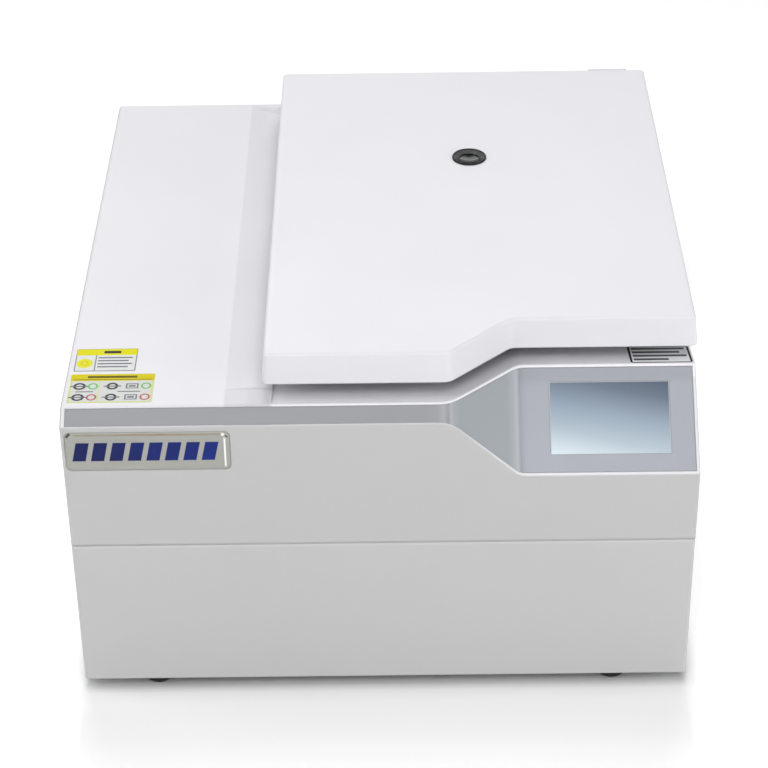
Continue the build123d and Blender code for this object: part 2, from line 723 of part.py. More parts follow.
def dish():
    """Shallow slope beside the lid: falls to the right, runs out at both ends."""
    low = DECK_Z - DISH_DROP
    y0 = FRONT_Y + DISH_FRONT
    y1 = REAR_Y - BAY_REAR_LIP
    top = DECK_Z + 5
    right = BAY_LEFT + 1
    outline = Polyline((DISH_LEFT, 0, DECK_Z), (DISH_FLAT, 0, low), (right, 0, low),
                       (right, 0, top), (DISH_LEFT, 0, top), close=True)
    body = extrude(Pos(0, y1, 0) * make_face(outline), y1 - y0, dir=(0, -1, 0))
    for end, way in ((y0, 1), (y1, -1)):
        side = Polyline((0, end - way, DECK_Z), (0, end, DECK_Z),
                        (0, end + way * DISH_RUNOUT, low - 1), (0, end - way, low - 1),
                        close=True)
        wedge = extrude(Pos(DISH_LEFT - 1, 0, 0) * make_face(side), right - DISH_LEFT + 2,
                        dir=(1, 0, 0))
        body -= wedge
    return body


def hook_slot(x, z0, z1, radius):
    """Room that one lid hook and the bar's finger need, as a block."""
    return rounded_block(x - HOOK_SLOT_LEFT, x + HOOK_SLOT_RIGHT, LATCH_Y - HOOK_SLOT_NEAR,
                         LATCH_Y + HOOK_SLOT_FAR, z0, z1, radius)


def upper_shell():
    """Moulded housing: two slopes joined by a ruled facet, with the lid's bay."""
    wing = station(LEFT_X, wing_outline(BAND), ((1, SLOPE_ROUND), (2, SLOPE_ROUND),
                                                (3, CORNER)))
    body = extrude(wing, BAY_LEFT - LEFT_X, dir=(1, 0, 0))
    body += stepped(bay_outline, BAY_LEFT, RIGHT_X,
                    ((1, SLOPE_ROUND), (2, SLOPE_ROUND), (6, CORNER)))
    left = body.faces().sort_by(Axis.X)[0].edges().sort_by(Axis.Z)[1:]
    body = fillet(left, CORNER - 0.5)
    right = body.faces().sort_by(Axis.X)[-1].edges().sort_by(Axis.Z)[1:]
    body = fillet(right, RIGHT_ROUND)
    body -= dish()

    seam = SEAM_Z - TONGUE
    inset = SHEET + FIT
    tongue = rounded_block(LEFT_X + inset, RIGHT_X - inset, FRONT_Y + inset,
                           REAR_Y - inset, seam, SEAM_Z + TONGUE_RISE, CORNER - SHEET)
    body += tongue
    inner = inset + SHEET
    hollow = block(LEFT_X + inner, RIGHT_X - inner, FRONT_Y + inner, REAR_Y - inner,
                   seam - 1, SEAM_Z + TONGUE_RISE + 2)
    wing_roof = DECK_Z - WALL
    bay_roof = BAY_FLOOR_Z - WALL
    wing_right = DISH_LEFT - WALL
    wing_room = extrude(station(LEFT_X + WALL + 1.5, cavity_outline(BAND, wing_roof)),
                        wing_right - LEFT_X - WALL - 1.5, dir=(1, 0, 0))
    bay_room = stepped(lambda slope: cavity_outline(slope, bay_roof),
                       wing_right - 1, RIGHT_X - WALL - 1.5)
    above_seam = block(LEFT_X, RIGHT_X, FRONT_Y, REAR_Y, SEAM_Z + TONGUE_RISE, DECK_Z)
    body -= (wing_room + bay_room) & above_seam
    body -= hollow

    collar = ring(CHAMBER_X, CHAMBER_Y, BAY_FLOOR_Z - 1, COLLAR_Z, COLLAR_OUTER,
                  COLLAR_INNER - 1)
    body += collar
    body -= post(CHAMBER_X, CHAMBER_Y, BAY_FLOOR_Z - WALL - 1, COLLAR_Z + 1, COLLAR_INNER)

    body -= inlay_slab(0.0, -1.0, INLAY_RECESS)
    body -= screen_block(SCREEN_LEDGE, -1.0, WALL + 2)
    body -= screen_block(-DISPLAY_MARGIN - FIT, WALL, WALL + 25)
    recess = NAME_PLATE_THICK - NAME_PLATE_PROUD
    body -= extrude(name_plate_face(FRONT_Y - 1, FIT), recess + 1, dir=(0, 1, 0))
    for x in HOOK_CENTRES:
        body -= hook_slot(x, BAY_FLOOR_Z - WALL - 1, DECK_Z + 1, WALL)
    for x, z in hinge_bolt_places():
        body -= rod_y(x, z, REAR_Y - WALL - 1, REAR_Y + 1, SCREW_HOLE)
    return body


def trim_inlay():
    """Satin film over the band, the diagonal facet and the operating panel."""
    top = INLAY_RECESS - INLAY_THICK
    film = inlay_slab(0.2, top, INLAY_RECESS - 0.05)
    return film - screen_block(-0.2, -2.0, WALL)


def screen_glass():
    return screen_block(0.0, INLAY_RECESS - INLAY_THICK - 0.05, INLAY_RECESS)


def display_module():
    glass_back = INLAY_RECESS
    front = screen_block(SCREEN_LEDGE + 0.5, glass_back, WALL)
    tray = screen_block(-DISPLAY_MARGIN, WALL, WALL + DISPLAY_THICK)
    return front + tray


def control_board():
    """Circuit board behind the display, on four stand-offs."""
    top = WALL + DISPLAY_THICK + BOARD_SPACE
    back = top + BOARD_THICK
    half = STANDOFF / 2
    board = screen_block(-BOARD_MARGIN, top, back)
    for x in (SCREEN_LEFT, SCREEN_LEFT + SCREEN_WIDTH):
        for along in (SCREEN_UP, SCREEN_UP + SCREEN_HEIGHT):
            board += panel_block(x - half, x + half, along - half, along + half,
                                 WALL + DISPLAY_THICK, top)
    chip_x = SCREEN_LEFT + SCREEN_WIDTH / 3 - CHIP_SIZE / 2
    chip_up = SCREEN_UP + (SCREEN_HEIGHT - CHIP_SIZE) / 2
    board += panel_block(chip_x, chip_x + CHIP_SIZE, chip_up, chip_up + CHIP_SIZE, back,
                         back + CHIP_THICK)
    return board


def name_plate_face(y, gap):
    """Upright outline of the plate, or of its recess, which is a gap larger."""
    width, height = NAME_PLATE
    centre = Pos(LEFT_X + NAME_PLATE_LEFT + width / 2, y, NAME_PLATE_Z + height / 2)
    return centre * Rot(90, 0, 0) * RectangleRounded(width + 2 * gap, height + 2 * gap,
                                                     NAME_PLATE_ROUND + gap)


def name_plate():
    face = name_plate_face(FRONT_Y - NAME_PLATE_PROUD, 0.0)
    plate = extrude(face, NAME_PLATE_THICK, dir=(0, 1, 0))
    rim = plate.faces().sort_by(Axis.Y)[0].edges()
    return fillet(rim, NAME_PLATE_EDGE)


# ---------------------------------------------------------------- chamber
def chamber_bowl():
    """Spun bowl: rim flange, straight wall, rounded bottom, upturned shaft hole."""
    inner = BOWL_RADIUS
    outer = inner + BOWL_WALL
    low = BOWL_FLOOR_Z - BOWL_WALL
    steps = 5
    profile = [(COLLAR_OUTER, COLLAR_Z), (COLLAR_OUTER, BOWL_RIM_Z), (inner, BOWL_RIM_Z)]
    for i in range(steps + 1):
        angle = radians(90 * i / steps)
        profile.append((inner - BOWL_ROUND + BOWL_ROUND * cos(angle),
                        BOWL_FLOOR_Z + BOWL_ROUND - BOWL_ROUND * sin(angle)))
    hole_top = BOWL_FLOOR_Z + HOLE_COLLAR
    profile += [(BOWL_HOLE + BOWL_WALL, BOWL_FLOOR_Z), (BOWL_HOLE + BOWL_WALL, hole_top),
                (BOWL_HOLE, hole_top), (BOWL_HOLE, low)]
    round_outer = BOWL_ROUND + BOWL_WALL
    for i in range(steps + 1):
        angle = radians(90 * (steps - i) / steps)
        profile.append((inner - BOWL_ROUND + round_outer * cos(angle),
                        BOWL_FLOOR_Z + BOWL_ROUND - round_outer * sin(angle)))
    profile.append((outer, COLLAR_Z))
    return turned(profile, CHAMBER_X, CHAMBER_Y)


def line_place(bearing):
    """(x, y) of a pipe that rises beside the coil, at degrees from straight left."""
    return (CHAMBER_X - LINE_RADIUS * cos(radians(bearing)),
            CHAMBER_Y + LINE_RADIUS * sin(radians(bearing)))


def chamber_insulation():
    """Foam cup round the bowl and its coil, with grooves for the two lines."""
    top = BAY_FLOOR_Z - WALL - FIT
    floor = BOWL_FLOOR_Z - BOWL_WALL - FIT
    under = floor - INSULATION
    profile = [(INSULATION_INNER, top), (INSULATION_OUTER, top), (INSULATION_OUTER, under),
               (INSULATION_HOLE, under), (INSULATION_HOLE, floor), (INSULATION_INNER, floor)]
    cup = turned(profile, CHAMBER_X, CHAMBER_Y)
    capillary_top, suction_top = line_tops()
    for bearing, line_top in ((DRIER_BEARING, capillary_top), (-SUCTION_BEARING, suction_top)):
        x, y = line_place(bearing)
        cup -= post(x, y, under - 1, line_top + FIT, PIPE_RADIUS + FIT)
    return cup


def coil_z(turn):
    low = BOWL_FLOOR_Z + BOWL_ROUND + COIL_LOW
    pitch = (BAY_FLOOR_Z - WALL - COIL_HIGH - low) / COIL_TURNS
    return low + turn * pitch


def line_tops():
    """Heights at which the capillary and the suction line end beside the coil."""
    return coil_z(0) + 2 * COIL_SIZE, coil_z(COIL_TURNS - 1) + 2 * COIL_SIZE


def evaporator():
    """Flat-sided tube wound on the bowl, one ring per turn."""
    inner = BOWL_RADIUS + BOWL_WALL + FIT
    turns = []
    for i in range(COIL_TURNS):
        z = coil_z(i)
        turns.append(ring(CHAMBER_X, CHAMBER_Y, z, z + 2 * COIL_SIZE, inner + COIL_SIZE, inner))
    return together(turns)


def chamber_seal():
    """Rubber ring on the bowl's rim with a raised lip under the lid."""
    inner = COLLAR_INNER + 1
    outer = COLLAR_OUTER - 1
    middle = (inner + outer) / 2
    foot = BOWL_RIM_Z + SEAL_FOOT
    profile = [(inner, BOWL_RIM_Z), (outer, BOWL_RIM_Z), (outer, foot),
               (middle + SEAL_LIP, SEAL_TOP_Z), (middle - SEAL_LIP, SEAL_TOP_Z),
               (inner, foot)]
    return turned(profile, CHAMBER_X, CHAMBER_Y)


def lid_buffers():
    """Rubber stops that carry the front of the closed lid."""
    buffers = []
    for x in (LID_LEFT + BUFFER_LEFT, LID_RIGHT - BUFFER_RIGHT):
        profile = [(0, BAY_FLOOR_Z), (BUFFER_RADIUS, BAY_FLOOR_Z),
                   (BUFFER_RADIUS - 2, SEAL_TOP_Z), (0, SEAL_TOP_Z)]
        buffers.append(turned(profile, x, BUFFER_Y))
    return together(buffers)


# ---------------------------------------------------------------- drive
def mount_places():
    reach = MOTOR_PLATE / 2 - MOUNT_RADIUS - 5
    return [(CHAMBER_X + sx * reach, CHAMBER_Y + sy * reach)
            for sx in (-1, 1) for sy in (-1, 1)]


def vibration_mounts():
    """Waisted rubber posts between the pan and the motor plate."""
    top = MOTOR_BOTTOM_Z - MOTOR_PLATE_THICK
    middle = (PAN_Z + top) / 2
    profile = [(0, PAN_Z), (MOUNT_RADIUS, PAN_Z), (MOUNT_RADIUS, PAN_Z + MOUNT_EDGE),
               (MOUNT_WAIST, middle), (MOUNT_RADIUS, top - MOUNT_EDGE), (MOUNT_RADIUS, top),
               (0, top)]
    return together(turned(profile, x, y) for x, y in mount_places())


def motor_plate():
    half = MOTOR_PLATE / 2
    plate = rounded_block(CHAMBER_X - half, CHAMBER_X + half, CHAMBER_Y - half,
                          CHAMBER_Y + half, MOTOR_BOTTOM_Z - MOTOR_PLATE_THICK,
                          MOTOR_BOTTOM_Z, MOTOR_PLATE_ROUND)
    return plate - post(CHAMBER_X, CHAMBER_Y, MOTOR_BOTTOM_Z - MOTOR_PLATE_THICK - 1,
                        MOTOR_BOTTOM_Z + 1, BEARING_RADIUS + 2)


def motor_housing():
    """Flanged can with a bearing seat in each end."""
    flange = MOTOR_RADIUS + MOTOR_FLANGE
    flange_top = MOTOR_BOTTOM_Z + MOTOR_FLANGE_THICK
    inner = MOTOR_RADIUS - MOTOR_WALL
    room_low = MOTOR_BOTTOM_Z + BEARING_WIDTH + 2
    room_high = MOTOR_TOP_Z - BEARING_WIDTH - 2
    profile = [(BEARING_RADIUS, MOTOR_BOTTOM_Z), (flange, MOTOR_BOTTOM_Z),
               (flange, flange_top), (MOTOR_RADIUS, flange_top),
               (MOTOR_RADIUS, MOTOR_TOP_Z - MOTOR_WALL), (inner, MOTOR_TOP_Z),
               (BEARING_RADIUS, MOTOR_TOP_Z), (BEARING_RADIUS, room_high),
               (inner, room_high), (inner, room_low), (BEARING_RADIUS, room_low)]
    return turned(profile, CHAMBER_X, CHAMBER_Y)


def motor_stator():
    low = MOTOR_BOTTOM_Z + BEARING_WIDTH + 6
    high = MOTOR_TOP_Z - BEARING_WIDTH - 6
    return ring(CHAMBER_X, CHAMBER_Y, low, high, MOTOR_RADIUS - MOTOR_WALL - FIT,
                CORE_RADIUS + 1)


def motor_bearings():
    pair = []
    for low in (MOTOR_BOTTOM_Z, MOTOR_TOP_Z - BEARING_WIDTH):
        pair.append(ring(CHAMBER_X, CHAMBER_Y, low, low + BEARING_WIDTH,
                         BEARING_RADIUS, SHAFT_RADIUS + RUNNING))
    return together(pair)


def motor_boot():
    """Rubber bellows that closes the gap between the motor and the bowl."""
    low = MOTOR_TOP_Z
    high = BOWL_FLOOR_Z - BOWL_WALL
    middle = (low + high) / 2
    inner = BOWL_HOLE
    outer = inner + BOOT_WALL
    cuff = inner + BOOT_CUFF
    edge = BOOT_WALL
    profile = [(inner, low), (cuff, low), (cuff, low + edge), (outer, low + 2 * edge),
               (outer + BOOT_FOLD, middle), (outer, high - 2 * edge), (cuff, high - edge),
               (cuff, high), (inner, high), (inner, high - 2 * edge),
               (inner + BOOT_FOLD, middle), (inner, low + 2 * edge)]
    return turned(profile, CHAMBER_X, CHAMBER_Y)


def motor_shaft():
    """Stepped shaft: journals, taper for the rotor and a stud for its nut."""
    low = MOTOR_BOTTOM_Z - 3
    high = HUB_TOP_Z + STUD_LENGTH
    profile = [(0, low), (SHAFT_RADIUS, low), (SHAFT_RADIUS, HUB_BOTTOM_Z + SHAFT_SHOULDER),
               (STUD_RADIUS, HUB_TOP_Z), (STUD_RADIUS, high), (0, high)]
    return turned(profile, CHAMBER_X, CHAMBER_Y)


def motor_rotor():
    low = MOTOR_BOTTOM_Z + BEARING_WIDTH + 8
    high = MOTOR_TOP_Z - BEARING_WIDTH - 8
    return ring(CHAMBER_X, CHAMBER_Y, low, high, CORE_RADIUS, SHAFT_RADIUS)


# ---------------------------------------------------------------- rotor
def cheek_face():
    """Side plate of the rotor: level top, belly in the middle, two windows."""
    tip = CHEEK_TIP
    belly = HUB_BOTTOM_Z + BEAM_RAISE
    points = [(-CHEEK_REACH, TRUNNION_Z - tip), (-CHEEK_REACH, TRUNNION_Z + tip),
              (CHEEK_REACH, TRUNNION_Z + tip), (CHEEK_REACH, TRUNNION_Z - tip),
              (HUB_RADIUS + 10, belly), (-HUB_RADIUS - 10, belly)]
    outline = Polyline(*[(x, 0, z) for x, z in points], close=True)
    face = make_face(outline)
    corners = face.vertices()
    face = fillet(corners, CHEEK_ROUND)
    window = TRUNNION_REACH / 2 + 2
    for x in (-window, window):
        hole = Pos(x, 0, TRUNNION_Z - 1) * Rot(90, 0, 0) * SlotOverall(CHEEK_SLOT, CHEEK_SLOT_WIDTH)
        face -= hole
    return face


def rotor_yoke():
    """Hub with a cross beam and two cheeks that carry the four trunnion pins."""
    yoke = post(0, 0, HUB_BOTTOM_Z, HUB_TOP_Z, HUB_RADIUS)
    beam_half = HUB_RADIUS - 6
    beam = block(-beam_half, beam_half, -CHEEK_INNER - 1, CHEEK_INNER + 1,
                 HUB_BOTTOM_Z + BEAM_RAISE, TRUNNION_Z - 1)
    beam -= rod_x_pair((HUB_BOTTOM_Z + BEAM_RAISE + TRUNNION_Z) / 2)
    yoke += beam
    for side in (-1, 1):
        near = side * CHEEK_INNER
        cheek = extrude(Pos(0, near, 0) * cheek_face(), CHEEK_THICK, dir=(0, side, 0))
        yoke += cheek
        for x in (-TRUNNION_REACH, TRUNNION_REACH):
            inner_end = side * (CHEEK_INNER - TRUNNION_LENGTH)
            low, high = sorted((inner_end, near + side))
            yoke += rod_y(x, TRUNNION_Z, low, high, TRUNNION_RADIUS)
    bore = turned([(0, HUB_BOTTOM_Z - 1), (SHAFT_RADIUS + RUNNING, HUB_BOTTOM_Z - 1),
                   (SHAFT_RADIUS + RUNNING, HUB_BOTTOM_Z + SHAFT_SHOULDER),
                   (STUD_RADIUS + RUNNING, HUB_TOP_Z), (STUD_RADIUS + RUNNING, HUB_TOP_Z + 1),
                   (0, HUB_TOP_Z + 1)])
    return Pos(CHAMBER_X, CHAMBER_Y, 0) * (yoke - bore)


def rod_x_pair(z):
    """Lightening holes through the cross beam, one each side of the hub."""
    middle = (HUB_RADIUS + CHEEK_INNER) / 2
    reach = HUB_RADIUS
    near = rod_x(-middle, z, -reach, reach, BEAM_HOLE)
    return near + rod_x(middle, z, -reach, reach, BEAM_HOLE)


def rotor_nut():
    """Knurled cap nut that holds the rotor on the taper."""
    top = HUB_TOP_Z + NUT_HEIGHT
    nut = post(0, 0, HUB_TOP_Z, top, NUT_RADIUS)
    for i in range(NUT_GRIPS):
        angle = 2 * pi * i / NUT_GRIPS
        reach = NUT_RADIUS + 1
        nut -= post(reach * cos(angle), reach * sin(angle), HUB_TOP_Z - 1, top + 1, NUT_GRIP)
    nut -= post(0, 0, HUB_TOP_Z - 1, HUB_TOP_Z + STUD_LENGTH + RUNNING, STUD_RADIUS + RUNNING)
    return Pos(CHAMBER_X, CHAMBER_Y, 0) * nut


def carrier_ear():
    """End bracket of a carrier: wide foot, rounded head with the trunnion hole."""
    head = EAR_HEAD
    foot = EAR_FOOT
    low = TRUNNION_Z - CARRIER_DROP + CARRIER_RIM - 2
    outline = Polyline((-foot, 0, low), (-head, 0, TRUNNION_Z), (head, 0, TRUNNION_Z),
                       (foot, 0, low), close=True)
    face = make_face(outline)
    face += Pos(0, 0, TRUNNION_Z) * Rot(90, 0, 0) * Circle(head)
    face -= Pos(0, 0, TRUNNION_Z) * Rot(90, 0, 0) * Circle(TRUNNION_RADIUS + RUNNING)
    face -= Pos(0, 0, low + EAR_SLOT / 2) * Rot(90, 0, 0) * SlotOverall(EAR_SLOT, EAR_SLOT_WIDTH)
    return face


def plate_carrier(side):
    """Swing-out tray for one plate, at rest with its pocket upwards."""
    half_w = POCKET_WIDTH / 2 + CARRIER_WALL
    floor_z = TRUNNION_Z - CARRIER_DROP
    tray = rounded_block(-half_w, half_w, -CARRIER_END, CARRIER_END,
                         floor_z - CARRIER_FLOOR, floor_z + CARRIER_RIM, CARRIER_ROUND)
    pocket = block(-POCKET_WIDTH / 2, POCKET_WIDTH / 2, -POCKET_LENGTH / 2,
                   POCKET_LENGTH / 2, floor_z, floor_z + CARRIER_RIM + 1)
    tray -= pocket
    slot_x = FLOOR_SLOT_LENGTH / 2
    slot_y = FLOOR_SLOT_WIDTH / 2
    for y in (-FLOOR_SLOT_PITCH, 0.0, FLOOR_SLOT_PITCH):
        tray -= rounded_block(-slot_x, slot_x, y - slot_y, y + slot_y,
                              floor_z - CARRIER_FLOOR - 1, floor_z + 1, FLOOR_SLOT_ROUND)
    notch = FINGER_NOTCH / 2
    for x in (-1, 1):
        low, high = sorted((x * (POCKET_WIDTH / 2 - 1), x * (half_w + 1)))
        tray -= block(low, high, -notch, notch, floor_z + 2 * CARRIER_FLOOR,
                      floor_z + CARRIER_RIM + 1)
    for end in (-1, 1):
        start = end * POCKET_LENGTH / 2
        tray += extrude(Pos(0, start, 0) * carrier_ear(), CARRIER_WALL, dir=(0, end, 0))
    return Pos(CHAMBER_X + side * TRUNNION_REACH, CHAMBER_Y, 0) * tray


# ---------------------------------------------------------------- lid
def lid_plan(inset, z):
    """Outline of the lid's underside, drawn in by an inset."""
    skirt = (LID_TOP_Z - LID_BOTTOM_Z) * sin(radians(LID_DRAFT)) / cos(radians(LID_DRAFT))
    grow = skirt - inset
    left = LID_LEFT - grow
    right = LID_RIGHT + grow
    near = FRONT_Y + LID_FRONT_LEFT - grow
    far = FRONT_Y + LID_FRONT_RIGHT - grow
    rear = REAR_Y - LID_REAR_SETBACK + grow
    step = LID_STEP_RIGHT - LID_STEP_LEFT
    angle = atan2(LID_FRONT_RIGHT - LID_FRONT_LEFT, step)
    shift = grow * (1 - cos(angle)) / sin(angle)
    points = [(left, near), (LID_STEP_LEFT + shift, near), (LID_STEP_RIGHT + shift, far),
              (right, far), (right, rear), (left, rear)]
    face = make_face(Polyline(*[(x, y, z) for x, y in points], close=True))
    corner = max(LID_CORNER - inset, 2.0)
    rounds = [corner, LID_STEP_ROUND - inset, LID_STEP_ROUND + inset, corner, corner, corner]
    for (x, y), radius in zip(points, rounds):
        face = fillet(face.vertices().sort_by_distance((x, y, z))[0], radius)
    return face


def lid_boss_places():
    x0 = LID_LEFT + LID_BOSS_INSET
    x1 = LID_RIGHT - LID_BOSS_INSET
    return [(x0, FRONT_Y + LID_FRONT_LEFT + LID_BOSS_INSET),
            (x1, FRONT_Y + LID_FRONT_RIGHT + LID_BOSS_INSET),
            (x0, CHAMBER_Y), (x1, CHAMBER_Y),
            (x0, REAR_Y - LID_BOSS_REAR), (x1, REAR_Y - LID_BOSS_REAR)]


def lid_cover():
    """Drafted cover, open below, with bosses, sight-glass bore and arm notches."""
    height = LID_TOP_Z - LID_BOTTOM_Z
    cover = extrude(lid_plan(0.0, LID_BOTTOM_Z), height, taper=LID_DRAFT)
    rim = cover.faces().sort_by(Axis.Z)[-1].edges()
    cover = fillet(rim, LID_EDGE)
    room = extrude(lid_plan(LID_WALL, LID_BOTTOM_Z), height - LID_WALL, taper=LID_DRAFT)
    cover -= room
    for x, y in lid_boss_places():
        cover += post(x, y, ARM_Z, LID_TOP_Z - LID_WALL + 0.5, LID_BOSS_RADIUS)
    cover -= post(CHAMBER_X, CHAMBER_Y, ARM_Z, LID_TOP_Z + 1, SIGHT_RADIUS - SIGHT_TUBE)
    half = KNUCKLE_WIDTH / 2 + 0.5
    for x in HINGE_CENTRES:
        cover -= block(x - half, x + half, REAR_Y - LID_REAR_SETBACK - 2 * LID_WALL, REAR_Y,
                       LID_BOTTOM_Z - 1, ARM_Z + ARM_THICK + 0.5)
    return cover


def lid_liner():
    """Flat underside of the lid, pressed up a little over the rotor."""
    liner = extrude(lid_plan(LID_WALL + FIT + 0.3, LINER_Z), LINER_THICK)
    liner -= post(CHAMBER_X, CHAMBER_Y, LINER_Z - 1, LINER_Z + 5, SIGHT_LENS_RADIUS)
    top = LINER_Z + LINER_THICK / 2
    dish_profile = [(0, LINER_Z - 1), (LINER_DISH_RADIUS, LINER_Z - 1),
                    (LINER_DISH_RADIUS - 1, top), (0, top)]
    return liner - turned(dish_profile, CHAMBER_X, CHAMBER_Y)


def lid_frame():
    """Steel plate inside the lid that takes the hinge arms and the lock hooks."""
    frame = extrude(lid_plan(LID_WALL + FIT + 3, FRAME_Z), LID_FRAME_THICK)
    frame -= post(CHAMBER_X, CHAMBER_Y, FRAME_Z - 1, ARM_Z + 1, SIGHT_RADIUS - SIGHT_TUBE + FIT)
    return frame


def sight_ring():
    """Black bezel of the sight glass with its tube down through the lid."""
    lens = SIGHT_LENS_RADIUS
    tube = SIGHT_RADIUS - SIGHT_TUBE - FIT
    top = LID_TOP_Z + SIGHT_PROUD
    low = FRAME_Z + 0.2
    profile = [(lens + FIT, low), (tube, low), (tube, LID_TOP_Z), (SIGHT_RADIUS, LID_TOP_Z),
               (SIGHT_RADIUS, top - 0.8), (SIGHT_RADIUS - 0.8, top), (lens + 1.2, top),
               (lens + FIT, top - 1.0)]
    return turned(profile, CHAMBER_X, CHAMBER_Y)


def sight_lens():
    """Glass plug of the sight glass; its foot stands on the liner."""
    return post(CHAMBER_X, CHAMBER_Y, FRAME_Z, LID_TOP_Z + SIGHT_PROUD - 1.2,
                SIGHT_LENS_RADIUS + 0.1)


def lid_strikers():
    """Hooks below the lid; their mouths face left, towards the lock's fingers."""
    hooks = []
    half = HOOK_WIDTH / 2
    for x in HOOK_CENTRES:
        plate = block(x - half, x + half, LATCH_Y - HOOK_THICK / 2, LATCH_Y + HOOK_THICK / 2,
                      HOOK_BOTTOM_Z, LINER_Z - HOOK_FOOT_THICK)
        mouth = block(x - half - 1, x + 2, LATCH_Y - HOOK_THICK, LATCH_Y + HOOK_THICK,
                      BAR_Z - 3, BAR_Z + BAR_HEIGHT + 2)
        foot = block(x - half - HOOK_FOOT, x + half + HOOK_FOOT, LATCH_Y - HOOK_FOOT_HALF,
                     LATCH_Y + HOOK_FOOT_HALF, LINER_Z - HOOK_FOOT_THICK, LINER_Z)
        hooks.append(plate - mouth + foot)
    return together(hooks)


def lid_hinge_arms():
    """Flat arms on the lid frame, each ending in a bored knuckle."""
    arms = []
    half = KNUCKLE_WIDTH / 2
    for x in HINGE_CENTRES:
        strap = block(x - half + 1, x + half - 1, HINGE_Y - ARM_REACH, HINGE_Y,
                      ARM_Z, ARM_Z + ARM_THICK)
        knuckle = rod_x(HINGE_Y, HINGE_Z, x - half, x + half, KNUCKLE_RADIUS)
        bore = rod_x(HINGE_Y, HINGE_Z, x - half - 1, x + half + 1, PIN_RADIUS + RUNNING)
        arms.append(strap + knuckle - bore)
    return together(arms)


def lid_hinge_covers():
    """Rounded hoods over the knuckles, carried by the arms."""
    hoods = []
    half = HOOD_WIDTH / 2
    low = ARM_Z + ARM_THICK + FIT
    skirt = sin(radians(LID_DRAFT)) / cos(radians(LID_DRAFT)) * (LID_TOP_Z - low)
    y0 = REAR_Y - LID_REAR_SETBACK + skirt + FIT
    y1 = HINGE_Y + KNUCKLE_RADIUS
    for x in HINGE_CENTRES:
        top = HINGE_Z + HOOD_RISE - (0 if x > CHAMBER_X else HOOD_STEP)
        hood = block(x - half, x + half, y0, y1, low, top)
        rear_top = hood.edges().filter_by(Axis.X).group_by(Axis.Y)[-1].sort_by(Axis.Z)[-1]
        hood = fillet(rear_top, HOOD_ROUND)
        hood -= rod_x(HINGE_Y, HINGE_Z, x - half + HOOD_WALL, x + half - HOOD_WALL,
                      KNUCKLE_RADIUS + HOOD_WALL)
        hoods.append(hood)
    return together(hoods)


# ---------------------------------------------------------------- hinge on the cabinet
def hinge_brackets():
    """Two bolted brackets, each with a pair of ears for the hinge pin."""
    brackets = []
    gap = KNUCKLE_WIDTH / 2 + FIT
    for x in HINGE_CENTRES:
        half = gap + EAR_THICK + BRACKET_PLATE
        back = REAR_Y + BRACKET_PLATE
        plate = block(x - half, x + half, REAR_Y, back, DECK_Z - BRACKET_DROP, DECK_Z - 2)
        for hole_x, hole_z in hinge_bolts(x):
            plate -= rod_y(hole_x, hole_z, REAR_Y - 1, back + 1, SCREW_HOLE)
        for side in (-1, 1):
            low, high = sorted((x + side * gap, x + side * (gap + EAR_THICK)))
            stem = block(low, high, HINGE_Y - EAR_NECK, back, DECK_Z + FIT, HINGE_Z)
            foot = block(low, high, REAR_Y, back, DECK_Z - 6, DECK_Z + 2)
            head = rod_x(HINGE_Y, HINGE_Z, low, high, KNUCKLE_RADIUS - 0.5)
            bore = rod_x(HINGE_Y, HINGE_Z, low - 1, high + 1, PIN_RADIUS)
            plate += stem + foot + head - bore
            plate -= bore
        brackets.append(plate)
    return together(brackets)


def hinge_pins():
    pins = []
    reach = KNUCKLE_WIDTH / 2 + FIT + EAR_THICK
    for x in HINGE_CENTRES:
        pin = rod_x(HINGE_Y, HINGE_Z, x - reach, x + reach, PIN_RADIUS)
        pin += rod_x(HINGE_Y, HINGE_Z, x - reach - PIN_HEAD, x - reach, PIN_RADIUS + 1.5)
        pins.append(pin)
    return together(pins)


def hinge_screws():
    face = REAR_Y + BRACKET_PLATE
    return together(screw_y(x, z, face, BRACKET_PLATE + WALL) for x, z in hinge_bolt_places())


# ---------------------------------------------------------------- lid lock
def latch_bracket():
    """Folded channel under the bay that guides the sliding bar."""
    top = BAY_FLOOR_Z - WALL
    shelf = BAR_Z - FIT
    sheet = CHANNEL_SHEET
    x0 = HOOK_CENTRES[0] - CHANNEL_LEFT
    x1 = HOOK_CENTRES[1] + CHANNEL_RIGHT
    y0 = LATCH_Y - CHANNEL_NEAR
    y1 = LATCH_Y + CHANNEL_FAR
    channel = block(x0, x1, y0, y1, shelf - sheet, top)
    channel -= block(x0 - 1, x1 + 1, y0 + sheet, y1 - sheet, shelf, top - sheet)
    channel -= block(x0 - 1, x1 + 1, LATCH_Y - CHANNEL_GAP, y1 - sheet, shelf - sheet - 1,
                     shelf + 1)
    for x in HOOK_CENTRES:
        channel -= block(x - HOOK_SLOT_LEFT, x + HOOK_SLOT_RIGHT, LATCH_Y - HOOK_SLOT_NEAR,
                         LATCH_Y + HOOK_SLOT_FAR, top - sheet - 1, top + 1)
    return channel


def latch_bar():
    """Sliding bar with a finger for each hook."""
    y0 = LATCH_Y - BAR_NEAR
    y1 = LATCH_Y - BAR_FAR
    x0 = HOOK_CENTRES[0] - BAR_LEFT
    x1 = HOOK_CENTRES[1] + BAR_RIGHT
    bar = block(x0, x1, y0, y1, BAR_Z, BAR_Z + BAR_HEIGHT)
    for x in HOOK_CENTRES:
        start = x - HOOK_WIDTH / 2 - LATCH_TRAVEL - 2
        finger = block(start, start + LATCH_TRAVEL, y1 - 1, LATCH_Y + HOOK_THICK / 2 + 2,
                       BAR_Z + 1, BAR_Z + BAR_HEIGHT - 2)
        bar += finger
    return bar


